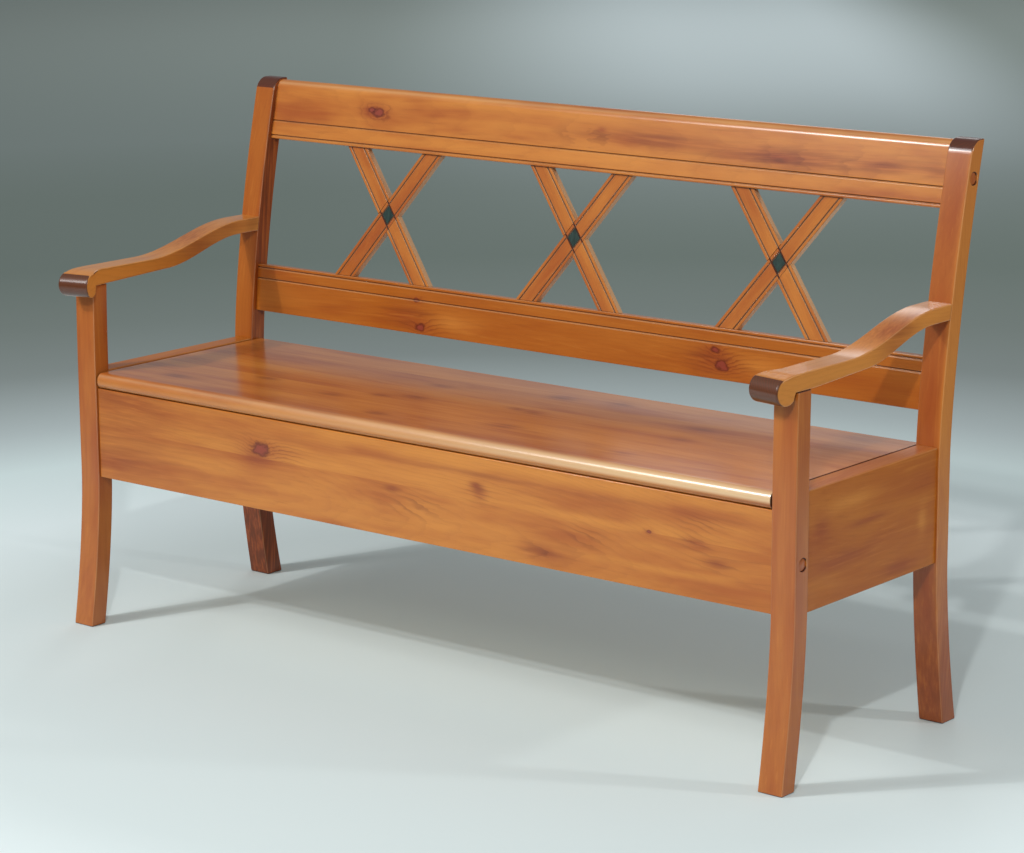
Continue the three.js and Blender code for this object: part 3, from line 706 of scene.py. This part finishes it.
# Boards of the box that keep the frame's outline, with their long edges eased
boxBoards = {"edgeRadius": 0.0012, "shortest": 0.12}
apronMarks = {
    "knots": [(-0.321, 0.368, 0.011), (0.482, 0.354, 0.0026)],
    "figure": [(-0.271, 0.370, 0.045, 0.016), (0.015, 0.323, 0.05, 0.018),
               (0.151, 0.366, 0.03, 0.016), (0.280, 0.290, 0.04, 0.012),
               (0.575, 0.382, 0.04, 0.012), (0.572, 0.351, 0.03, 0.012),
               (0.609, 0.324, 0.035, 0.012), (0.36, 0.325, 0.04, 0.02)],
    "shade": [(0.279, 0.289, 0.038, 0.011), (0.151, 0.366, 0.014, 0.012),
              (-0.63, 0.411, 0.10, 0.022, 0.5), (-0.031, 0.344, 0.016, 0.005),
              # the broad mark at -0.72 is painted shade, darkening the left end
              (0.143, 0.376, 0.012, 0.005), (-0.72, 0.35, 0.30, 0.15, 0.55),
              (-0.664, 0.299, 0.06, 0.014, 0.5), (0.22, 0.393, 0.42, 0.005, 0.6),
              (-0.33, 0.352, 0.03, 0.010), (0.572, 0.351, 0.022, 0.008),
              (0.609, 0.324, 0.022, 0.008)],
    "pale": [(0.26, 0.413, 0.50, 0.009, 1.5), (0.075, 0.297, 0.04, 0.007),
             (0.50, 0.297, 0.13, 0.006), (-0.62, 0.335, 0.08, 0.012), (-0.45, 0.32, 0.09, 0.016),
             (0.33, 0.355, 0.16, 0.005)],
}
apronPine = stainedPine("frontApronPine", heart=(0.30, -0.33), start=0.3, drift=0.05,
                        joints=(0.353,), worn=0, blotches=0.2, shadeDepth=0.35, coat=0.6,
                        seed=0.4, **apronMarks)
rearPine = stainedPine("rearApronPine", heart=(0.33, 0.30), drift=0.04, joints=(0.345,), seed=3.3)
cleatPine = stainedPine("cleatPine", heart=(0.27, 0.10), seed=6.2, sapwood=0.6)
sideCleatPine = stainedPine("sideCleatPine", along="Y", across="Z", deep="X", seed=6.8, sapwood=0.6)


def boxBoard(piece, node, material, grain="X"):
    bm = nodeCopy(node)
    ease(bm, sharpEdges(bm, 60, boxBoards["shortest"]), boxBoards["edgeRadius"], 2)
    makePiece(piece, bm, material, replaced=[node], grain=grain)


boxBoard("frontApron", "front_apron", apronPine)
boxBoard("rearApron", "back_apron", rearPine)
boxBoard("frontCleat", "front_cleat", cleatPine)
boxBoard("rearCleat", "back_cleat", cleatPine)
boxBoard("leftSideCleat", "left_side_cleat", sideCleatPine, "Y")
boxBoard("rightSideCleat", "right_side_cleat", sideCleatPine, "Y")

# Bottom of the box: birch plywood, with its plies on the edge
plywood = {"face": tint(205, 172, 126), "dark": tint(170, 128, 84), "plies": 0.0018}


def birchPlywood():
    shader = Shader("birchPlywood")
    x, y, z = shader.objectPoint()
    figure = shader.noise(shader.vector(x * 3, y * 26, 0.2), 1, 4, 0.6)
    fibre = shader.noise(shader.vector(x * 20, y * 700, z * 40), 1, 2)
    ply = (z / plywood["plies"]).only("FRACT") > 0.5
    edge = shader.attribute("endGrain")
    darker = shader.smooth(figure, 0.35, 0.7) * 0.6 + fibre * 0.15
    colour = shader.mix(darker, plywood["face"], plywood["dark"])
    colour = shader.mix(edge * ply * 0.7, colour, plywood["dark"])
    return shader.finish(**{
        "Base Color": colour,
        "Roughness": fibre * 0.15 + 0.55,
        "Normal": shader.bump(figure * 0.5 + fibre, 0.2, 0.0003),
    })


boxBoard("boxBottom", "bottom_panel", birchPlywood())
print("box made")

# Seat lid: a board with a rounded front edge, cut out below for the hinge leaves
lidShape = {
    "topRound": 0.013,
    "bottomRound": 0.011,
    "endRadius": 0.0009,
    "leafRoom": 0.0018,
    "leafReach": 0.0183,
    "leafPlay": 0.0003,
}
lid = block(lidLow, lidHigh)


def lidFrontEdge(height):
    return [edge for edge in lid.edges
            if all(v.co.y < lidLow.y + 0.001 and abs(v.co.z - height) < 0.001 for v in edge.verts)]


def leafSeat(hand):
    low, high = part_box(f"{hand}_hinge_moving_leaf")
    play = lidShape["leafPlay"]
    return block((low.x - play, lidHigh.y - lidShape["leafReach"], lidLow.z - 0.01),
                 (high.x + play, lidHigh.y + 0.01, lidLow.z + lidShape["leafRoom"]))


ease(lid, lidFrontEdge(lidHigh.z), lidShape["topRound"], 12)
ease(lid, lidFrontEdge(lidLow.z), lidShape["bottomRound"], 8)
ease(lid, sharpEdges(lid), lidShape["endRadius"], 2)
lid = carved(lid, leafSeat("left"), leafSeat("right"))
seatMarks = {
    "shade": [(-0.578, -0.157, 0.03, 0.016), (-0.442, -0.074, 0.022, 0.012),
              (-0.196, -0.061, 0.020, 0.010), (-0.142, -0.039, 0.026, 0.012),
              (-0.167, 0.054, 0.024, 0.012), (-0.109, -0.172, 0.022, 0.012),
              (-0.268, -0.107, 0.024, 0.012), (0.118, -0.119, 0.028, 0.014),
              (0.088, -0.010, 0.022, 0.012), (0.052, -0.009, 0.016, 0.010),
              (0.167, 0.120, 0.028, 0.016), (0.383, 0.049, 0.028, 0.014),
              (0.396, -0.031, 0.024, 0.014), (0.382, -0.156, 0.022, 0.012),
              (0.060, 0.107, 0.026, 0.016)],
    # the first pale mark, along the front round, is painted sheen
    "pale": [(0.1, -0.240, 0.7, 0.022), (-0.5, 0.0, 0.12, 0.03)],
    # painted highlight: a cream band on the upper front round, strongest towards the right end
    "bare": [(0.75, lidLow.y, 0.8, 0.010, 0.72)],
}
lidPine = stainedPine("seatLidPine", across="Y", deep="Z", heart=(-0.05, 0.36), drift=0.035,
                      joints=tuple(front + depth for depth in (0.085, 0.165, 0.245, 0.330)),
                      darkness=0.2, blotches=0.3, worn=0.15, shadeDepth=0.65, seed=8.3, coat=0.85,
                      bareFrom=(lidLow.z + 0.006, lidLow.z + 0.014), **seatMarks)
makePiece("seatLid", lid, lidPine, body="lid", replaced=["seat_lid"])
print("seat lid made")

# Rails of the back: boards that lean with the posts, with V-grooves along them
railShape = {
    "grooveWidth": 0.004,
    "grooveDepth": 0.002,
    "topGrooves": (0.0055, 0.032),  # above the bottom edge
    "lowerGrooves": (0.0255, 0.006),  # below the top edge
    "crownFront": 0.0155,
    "crownRear": 0.006,
    "lip": 0.0004,
    "edgeRadius": 0.0015,
    "stainFrom": 0.0003,  # depth below the face
    "stainReach": 0.0026,  # above and below the groove's middle
}


def railLine(bottom, top, setback):
    low = Vector((0, bench["front"] + postFront(bottom) + setback, bottom))
    high = Vector((0, bench["front"] + postFront(top) + setback, top))
    lean = math.atan2(high.y - low.y, high.z - low.z)
    return {"low": low, "high": high, "length": (high - low).length, "lean": lean}


def leaning(line):
    return Matrix.Rotation(-line["lean"], 3, "X")


topLine = railLine(*bench["topRail"], bench["railSetback"])
lowerLine = railLine(*bench["lowerRail"], bench["railSetback"])


def rail(line, grooves, crown):
    half = bench["halfInside"]
    thick = bench["railThickness"]
    width, depth = railShape["grooveWidth"], railShape["grooveDepth"]
    notches = [point for rise in grooves for point in
               ((0, rise - width / 2), (depth, rise), (0, rise + width / 2))]
    outline = [(0, 0)] + notches + [(0, line["length"]), (thick, line["length"]), (thick, 0)]
    bm = extruded([(-half, deep, rise) for deep, rise in outline], (2 * half, 0, 0))
    long = [edge for edge in bm.edges if edge.calc_length() > half]
    lips = [edge for edge in long if 0.001 < edge.verts[0].co.z < line["length"] - 0.001]
    corners = [edge for edge in long if edge not in lips]
    if crown:
        upper = [edge for edge in corners if edge.verts[0].co.z > line["length"] / 2]
        rear = [edge for edge in upper if edge.verts[0].co.y > thick / 2]
        corners = [edge for edge in corners if edge not in upper]
        ease(bm, [edge for edge in upper if edge not in rear], railShape["crownFront"], 14)
        ease(bm, rear, railShape["crownRear"], 6)
    ease(bm, lips, railShape["lip"], 2)
    ease(bm, corners, railShape["edgeRadius"], 3)
    return shifted(rotated(bm, leaning(line)), line["low"])


# Tells how dark a face of a rail's groove is: darker in the groove, partly stain held there and
# partly painted shade; the downward-facing upper flank gets full painted shade, the upward-facing
# lower flank little.
def inGrooves(line, grooves):
    upright = leaning(line).transposed()

    def darkness(centre, normal):
        place = upright @ (centre - line["low"])
        nearest = min(abs(place.z - groove) for groove in grooves)
        deep = railShape["stainFrom"] < place.y < railShape["grooveDepth"] + 0.001
        inside = deep and nearest < railShape["stainReach"]
        # painted shade: full on faces turned down, slight on faces turned up
        return inside * (1.0 if normal.z < 0 else 0.15)

    return darkness


railMarks = {
    "top": {
        "knots": [(-0.457, 0.873, 0.008), (-0.475, 0.876, 0.005)],
        "figure": [(0.05, 0.868, 0.10, 0.014), (0.45, 0.862, 0.12, 0.016),
                   (-0.42, 0.868, 0.05, 0.014)],
        "shade": [(-0.47, 0.873, 0.022, 0.010), (0.40, 0.862, 0.10, 0.014),
                  (0.69, 0.868, 0.035, 0.014, 0.7), (0.60, 0.868, 0.045, 0.010),
                  (0.12, 0.872, 0.10, 0.010), (0.036, 0.880, 0.010, 0.004),
                  (0.397, 0.859, 0.012, 0.004), (0.45, 0.865, 0.22, 0.018, 0.4)],
        "pale": [(-0.05, 0.900, 0.25, 0.006), (0.52, 0.874, 0.035, 0.007),
                 (-0.2, 0.828, 0.4, 0.010)],
    },
    "lower": {
        "knots": [(-0.314, 0.515, 0.0065), (0.328, 0.526, 0.0082), (-0.327, 0.561, 0.004),
                  (0.314, 0.549, 0.0055)],
        "figure": [(-0.30, 0.520, 0.05, 0.02), (0.33, 0.53, 0.06, 0.02)],
        "shade": [(-0.35, 0.530, 0.05, 0.02), (0.30, 0.535, 0.04, 0.015)],
        "pale": [(-0.24, 0.530, 0.05, 0.014), (0.40, 0.532, 0.06, 0.014)],
    },
}
topPine = stainedPine("topRailPine", heart=(0.93, 0.55), start=0.2, drift=-0.04, sapwood=0.52,
                      darkness=0.06, seed=12.1, **railMarks["top"])
lowerPine = stainedPine("lowerRailPine", heart=(0.47, 0.45), start=-0.2, drift=0.045, sapwood=0.50,
                        ochre=0.65, coat=0.5, seed=15.7, **railMarks["lower"])
topGrooves = railShape["topGrooves"]
lowerGrooves = sorted(lowerLine["length"] - drop for drop in railShape["lowerGrooves"])
makePiece("topRail", rail(topLine, topGrooves, True), topPine, replaced=["top_rail"],
          grooved=inGrooves(topLine, topGrooves))
makePiece("lowerRail", rail(lowerLine, lowerGrooves, False), lowerPine, replaced=["lower_rail"],
          grooved=inGrooves(lowerLine, lowerGrooves))
print("rails made")

# Crosses: drawn flat with their face at depth 0, lapped, grooved, then leant into the back
cross = {
    "spacing": 0.4145,
    "halfRun": 0.0875,
    "width": 0.036,
    "thickness": 0.012,
    "setback": 0.006,
    "grooveInset": 0.0065,
    "grooveWidth": 0.003,
    "grooveDepth": 0.0015,
    "edgeRadius": 0.001,
    "lip": 0.0003,
    "play": 0.0003,
    "inlayThickness": 0.0025,
    "inlayEdge": 0.0004,
    "stainFrom": 0.0002,
}
crossSetback = bench["railSetback"] + cross["setback"]
crossLine = railLine(bench["lowerRail"][1], bench["topRail"][0], crossSetback)
slatAngle = math.atan2(cross["halfRun"], crossLine["length"] / 2)
grooveAside = cross["width"] / 2 - cross["grooveInset"]


def slatTurn(hand):
    return Matrix.Rotation(hand * slatAngle, 3, "Y")


def slatGrain(hand):
    return leaning(crossLine) @ slatTurn(hand) @ Vector((0, 0, 1))


def flatSlat(hand):
    half, thick = cross["width"] / 2, cross["thickness"]
    notch, depth = cross["grooveWidth"] / 2, cross["grooveDepth"]
    face = [point for aside in (-grooveAside, grooveAside) for point in
            ((aside - notch, 0), (aside, depth), (aside + notch, 0))]
    outline = [(-half, 0)] + face + [(half, 0), (half, thick), (-half, thick)]
    reach = crossLine["length"]
    bm = extruded([(aside, deep, -reach) for aside, deep in outline], (0, 0, 2 * reach))
    long = [edge for edge in bm.edges if edge.calc_length() > reach]
    corners = [edge for edge in long if abs(edge.verts[0].co.x) > half - 0.0001]
    ease(bm, [edge for edge in long if edge not in corners], cross["lip"], 2)
    ease(bm, corners, cross["edgeRadius"], 3)
    return rotated(bm, slatTurn(hand))


def flatLap(hand, front, rear):
    half = cross["width"] / 2 + cross["play"]
    bm = block((-half, front, -crossLine["length"]), (half, rear, crossLine["length"]))
    return rotated(bm, slatTurn(hand))


def crossingGroove(hand, aside):
    notch, depth = cross["grooveWidth"] / 2, cross["grooveDepth"]
    reach = 0.99 * crossLine["length"]
    section = [(aside - 2 * notch, -depth), (aside + 2 * notch, -depth), (aside, depth)]
    bm = extruded([(x, y, -reach) for x, y in section], (0, 0, 2 * reach))
    return rotated(bm, slatTurn(hand))


def diamond(play, front, rear, edge=0):
    strip = grooveAside - cross["grooveWidth"] / 2 + play
    wide, high = strip / math.cos(slatAngle), strip / math.sin(slatAngle)
    corners = [(wide, front, 0), (0, front, high), (-wide, front, 0), (0, front, -high)]
    bm = extruded(corners, (0, rear - front, 0))
    if edge:
        ease(bm, [e for e in bm.edges if all(abs(v.co.y - front) < 1e-5 for v in e.verts)], edge, 2)
    return bm


def leant(bm, x):
    middle = (crossLine["low"] + crossLine["high"]) / 2
    return shifted(rotated(bm, leaning(crossLine)), middle + Vector((x, 0, 0)))


def trimmed(bm):
    up = leaning(topLine) @ Vector((0, 0, 1))
    trim(bm, topLine["low"] - up * cross["play"], up)
    down = leaning(lowerLine) @ Vector((0, 0, -1))
    trim(bm, lowerLine["high"] - down * cross["play"], down)
    return bm


def slatGrooves(centre, normal):
    into = leaning(crossLine) @ Vector((0, 1, 0))
    deep = (centre - (crossLine["low"] + crossLine["high"]) / 2).dot(into)
    inside = cross["stainFrom"] < deep < cross["grooveDepth"] + 2 * cross["stainFrom"]
    return inside and abs(normal.dot(into)) > 0.3


# Dark green veneer for the diamonds
inlayGreen = {
    "base": tint(28, 46, 42),
    "light": tint(44, 66, 60),
    "dark": tint(16, 26, 25),
    "coat": 0.8,
}


def greenInlay():
    shader = Shader("greenInlay")
    x, y, z = shader.objectPoint()
    figure = shader.noise(shader.vector(x * 30, y * 30, z * 6), 6, 3, 0.6)
    fibre = shader.noise(shader.vector(x * 900, y * 900, z * 30), 1, 2)
    colour = shader.mix(shader.smooth(figure, 0.35, 0.7), inlayGreen["base"], inlayGreen["light"])
    colour = shader.mix(shader.smooth(fibre, 0.5, 0.8) * 0.6, colour, inlayGreen["dark"])
    return shader.finish(**{
        **varnish,
        "Base Color": colour,
        "Roughness": fibre * 0.15 + 0.3,
        "Coat Weight": inlayGreen["coat"],
        "Normal": shader.bump(fibre, 0.15, 0.0002),
    })


def slatPine(name, hand, x, seed):
    return stainedPine(name, turn=(0, -hand * slatAngle, 0), along="Z", across="X", deep="Y",
                       heart=(x * math.cos(slatAngle) - hand * 0.5, 0.29), drift=0.05, worn=0.5,
                       blotches=0.15, darkness=0.2, seed=seed)


inlayMaterial = greenInlay()
for place, step in places:
    x = step * cross["spacing"]
    lapFloor = cross["thickness"] / 2
    risingPine = slatPine(f"{place}RisingPine", 1, x, 20 + step)
    fallingPine = slatPine(f"{place}FallingPine", -1, x, 24 + step)
    rising = carved(flatSlat(1), flatLap(-1, lapFloor - cross["play"] / 2, 2 * cross["thickness"]),
                    crossingGroove(-1, -grooveAside), crossingGroove(-1, grooveAside),
                    diamond(cross["play"], -0.004, cross["inlayThickness"] + cross["play"]))
    makePiece(f"{place}RisingSlat", trimmed(leant(rising, x)), risingPine,
              replaced=[f"{place}_cross_rising_slat"], grain=slatGrain(1), grooved=slatGrooves)
    falling = carved(flatSlat(-1), flatLap(1, -cross["thickness"], lapFloor + cross["play"] / 2))
    makePiece(f"{place}FallingSlat", trimmed(leant(falling, x)), fallingPine,
              replaced=[f"{place}_cross_falling_slat"], grain=slatGrain(-1), grooved=slatGrooves)
    inlay = diamond(0, 0, cross["inlayThickness"], cross["inlayEdge"])
    makePiece(f"{place}Diamond", leant(inlay, x), inlayMaterial,
              replaced=[f"{place}_diamond_inlay"])
print("crosses made")

# Hinge leaves with countersunk screws, and plain finishes for the hidden joinery
hinge = {
    "leaf": 0.0015,
    "headRadius": 0.0034,
    "holeRadius": 0.0018,
    "play": 0.0001,
    "screwStep": 0.024,
    "inset": 0.0095,
    "slot": (0.006, 0.00035, 0.0005),  # half its length, width and depth
    "cutterReach": (-0.004, 0.001),
}
metals = {
    "brass": tint(190, 150, 84),
    "brassDark": tint(136, 98, 48),
    "zinc": tint(176, 178, 180),
    "zincDark": tint(120, 122, 126),
}


def brushedMetal(name, light, dark, roughness):
    shader = Shader(name)
    x, y, z = shader.objectPoint()
    brushing = shader.noise(shader.vector(x * 40, y * 900, z * 900), 1, 2)
    stains = shader.noise(shader.vector(x, y, z), 90, 3, 0.6)
    colour = shader.mix(shader.smooth(stains, 0.4, 0.75) * 0.6 + brushing * 0.2, light, dark)
    return shader.finish(**{
        "Base Color": colour,
        "Metallic": 1.0,
        "Roughness": brushing * 0.2 + roughness,
        "Normal": shader.bump(brushing, 0.15, 0.0001),
    })


def turnedBeech():
    shader = Shader("turnedBeech")
    x, y, z = shader.objectPoint()
    fleck = shader.noise(shader.vector(x * 60, y * 260, z * 260), 1, 3)
    colour = shader.mix(shader.smooth(fleck, 0.45, 0.7), tint(206, 170, 126), tint(164, 120, 80))
    return shader.finish(**{
        "Base Color": colour,
        "Roughness": fleck * 0.2 + 0.5,
        "Normal": shader.bump(fleck, 0.3, 0.0002),
    })


brass = brushedMetal("satinBrass", metals["brass"], metals["brassDark"], 0.25)
zinc = brushedMetal("zincPlate", metals["zinc"], metals["zincDark"], 0.3)
beech = turnedBeech()


def screwHead(place, up):
    thick, shank, rim, play = (hinge[key] for key in ("leaf", "holeRadius", "headRadius", "play"))
    profile = [(0, -thick), (shank, -thick), (rim, -2 * play), (rim - play, -play), (0, 0)]
    half = Vector(hinge["slot"])
    slot = block(Vector(place) - half, Vector(place) + half)
    turn = Matrix.Rotation(place[0] * 9, 3, "Z")  # each slot stops at its own angle
    return carved(turned(profile, place, (0, 0, up), 24), rotated(slot, turn, place))


def countersink(place, up):
    hole, rim = hinge["holeRadius"] + hinge["play"], hinge["headRadius"] + hinge["play"]
    below, above = hinge["cutterReach"]
    profile = [
        (0, below),
        (hole, below),
        (hole, -hinge["leaf"]),
        (rim, 0),
        (rim, above),
        (0, above),
    ]
    return turned(profile, place, (0, 0, up), 24)


def hingeLeaf(hand, kind, body, up):
    node = f"{hand}_hinge_{kind}_leaf"
    low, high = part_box(node)
    middle = (low.x + high.x) / 2
    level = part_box("front_apron")[1].z if up > 0 else lidLow.z
    spots = [(middle + i * hinge["screwStep"], low.y + hinge["inset"], level) for i in (-1, 0, 1)]
    leaf = carved(nodeCopy(node), *[countersink(spot, up) for spot in spots])
    makePiece(f"{hand}{kind.title()}Leaf", leaf, brass, body=body, replaced=[node])
    for i, spot in enumerate(spots):
        makePiece(f"{hand}{kind.title()}Screw{i + 1}", screwHead(spot, up), brass, body=body)


def finishNode(name, material):
    nodes[name].data.materials.clear()
    nodes[name].data.materials.append(material)


for hand, side in sides:
    hingeLeaf(hand, "fixed", "bench", 1)
    hingeLeaf(hand, "moving", "lid", -1)
    for name in ("front_bolt", "back_bolt", "front_barrel_nut", "back_barrel_nut", "hinge_pin"):
        finishNode(f"{hand}_{name}", zinc)
    for name in ("leg", "arm", "apron", "rail"):
        finishNode(f"{hand}_{name}_dowel", beech)
print("hinges made")

# Studio: a floor with a painted pool of light, pale round the bench and greying with distance, and
# a painted glow further off
studio = {
    "floorTones": [  # distance in metres, colour
        (0.0, tint(212, 224, 224)),
        (0.95, tint(212, 224, 224)),
        (1.3, tint(230, 242, 243)),
        (1.75, tint(222, 238, 238)),
        (2.1, tint(192, 204, 205)),
        (2.7, tint(148, 158, 156)),
        (3.3, tint(136, 147, 142)),
        (4.2, tint(128, 141, 134)),
        (5.6, tint(137, 150, 143)),
        (7.0, tint(151, 163, 159)),
        (12.5, tint(148, 158, 153)),
    ],
    # painted glow: a pale patch of floor beyond the bench, standing in for a pool of lamp light
    "glow": tint(211, 223, 225),
    "glowAxis": (0.776, 0.631),  # level direction to the right in the camera's picture
    "glowAway": (4, 9.2),
    "glowLeft": (-0.85, 0.9),
    "glowRight": (2.6, 1.6),
    "toneReach": 14,
    "floorSize": 200,
    "world": (0.88, 0.95, 0.97, 1),
    "fill": 0.29,
    "aim": (0, 0, 0.45),
}
frontLeft = (-1.85, -2.95, 3.12)
frontRight = (2.24, -3.18, 3.04)
lamps = {
    "frontLeft": {"place": frontLeft, "power": 45, "size": (0.12, 0.12)},
    "frontLeftSoft": {"place": frontLeft, "power": 66, "size": (1.0, 2.2)},
    "frontRight": {"place": frontRight, "power": 60, "size": (0.12, 0.12)},
    "frontRightSoft": {"place": frontRight, "power": 29, "size": (1.4, 3.0)},
    "side": {"place": (2.4, 0.7, 1.3), "power": 10, "size": (0.12, 0.12)},
    "behind": {"place": (-1.9, 4.5, 2.75), "power": 17, "size": (2.6, 1.2)},
    "backdrop": {"place": (-6, 9.5, 6), "power": 170, "size": (2, 2), "aim": (-6, 9.5, 0)},
}


def floorMaterial():
    shader = Shader("floorPaintedPool")
    x, y = shader.objectPoint()[:2]
    # Painted pool of light: the floor's colour is pale near the bench and greys with distance
    reach = (x * x + y * y).only("SQRT") / studio["toneReach"]
    stops = [(radius / studio["toneReach"], colour) for radius, colour in studio["floorTones"]]
    colour = shader.node("ShaderNodeValToRGB", {"stops": stops}, {"Fac": reach})
    acrossX, acrossY = studio["glowAxis"]
    away = x * -acrossY + y * acrossX
    aside = x * acrossX + y * acrossY
    glow = shader.smooth(away, *studio["glowAway"]) * shader.smooth(aside, *studio["glowLeft"])
    glow = glow * shader.smooth(aside, *studio["glowRight"])
    colour = shader.mix(glow, colour, studio["glow"])
    return shader.finish(**{"Base Color": colour, "Roughness": 0.8})


floor = bmesh.new()
bmesh.ops.create_grid(floor, x_segments=1, y_segments=1, size=studio["floorSize"] / 2)
floorPiece = placed("floor", meshOf("floor", floor))
floorPiece.data.materials.append(floorMaterial())

for name, lamp in lamps.items():
    light = bpy.data.lights.new(name, "AREA")
    light.shape = "RECTANGLE"
    light.size, light.size_y = lamp["size"]
    light.energy = lamp["power"]
    holder = placed(name, light)
    holder.location = lamp["place"]
    towards = Vector(lamp.get("aim", studio["aim"])) - Vector(lamp["place"])
    holder.rotation_euler = towards.to_track_quat("-Z", "Y").to_euler()
    holder.visible_camera = False
    holder.visible_glossy = name != "backdrop"  # it would show in the varnish

world = bpy.data.worlds.new("studio")
world.use_nodes = True
world.node_tree.nodes["Background"].inputs["Color"].default_value = studio["world"]
world.node_tree.nodes["Background"].inputs["Strength"].default_value = studio["fill"]
bpy.context.scene.world = world
bpy.context.scene.view_settings.view_transform = "Standard"

# Camera at the photograph's viewing angle
view = {
    "place": (3.2136, -3.9021, 1.5334),
    "right": (0.77611262, 0.63057422, -0.00503464),
    "up": (-0.13286383, 0.1713235, 0.97621486),
    "forward": (-0.61643848, 0.75698376, -0.21674684),
    "lens": 110.6566,
}
camera = bpy.data.cameras.new("camera")
camera.lens = view["lens"]
camera.sensor_width = 36
cameraHolder = placed("camera", camera)
turn = Matrix((view["right"], view["up"], [-part for part in view["forward"]])).transposed()
cameraHolder.matrix_world = Matrix.Translation(view["place"]) @ turn.to_4x4()
bpy.context.scene.camera = cameraHolder
print("studio made")
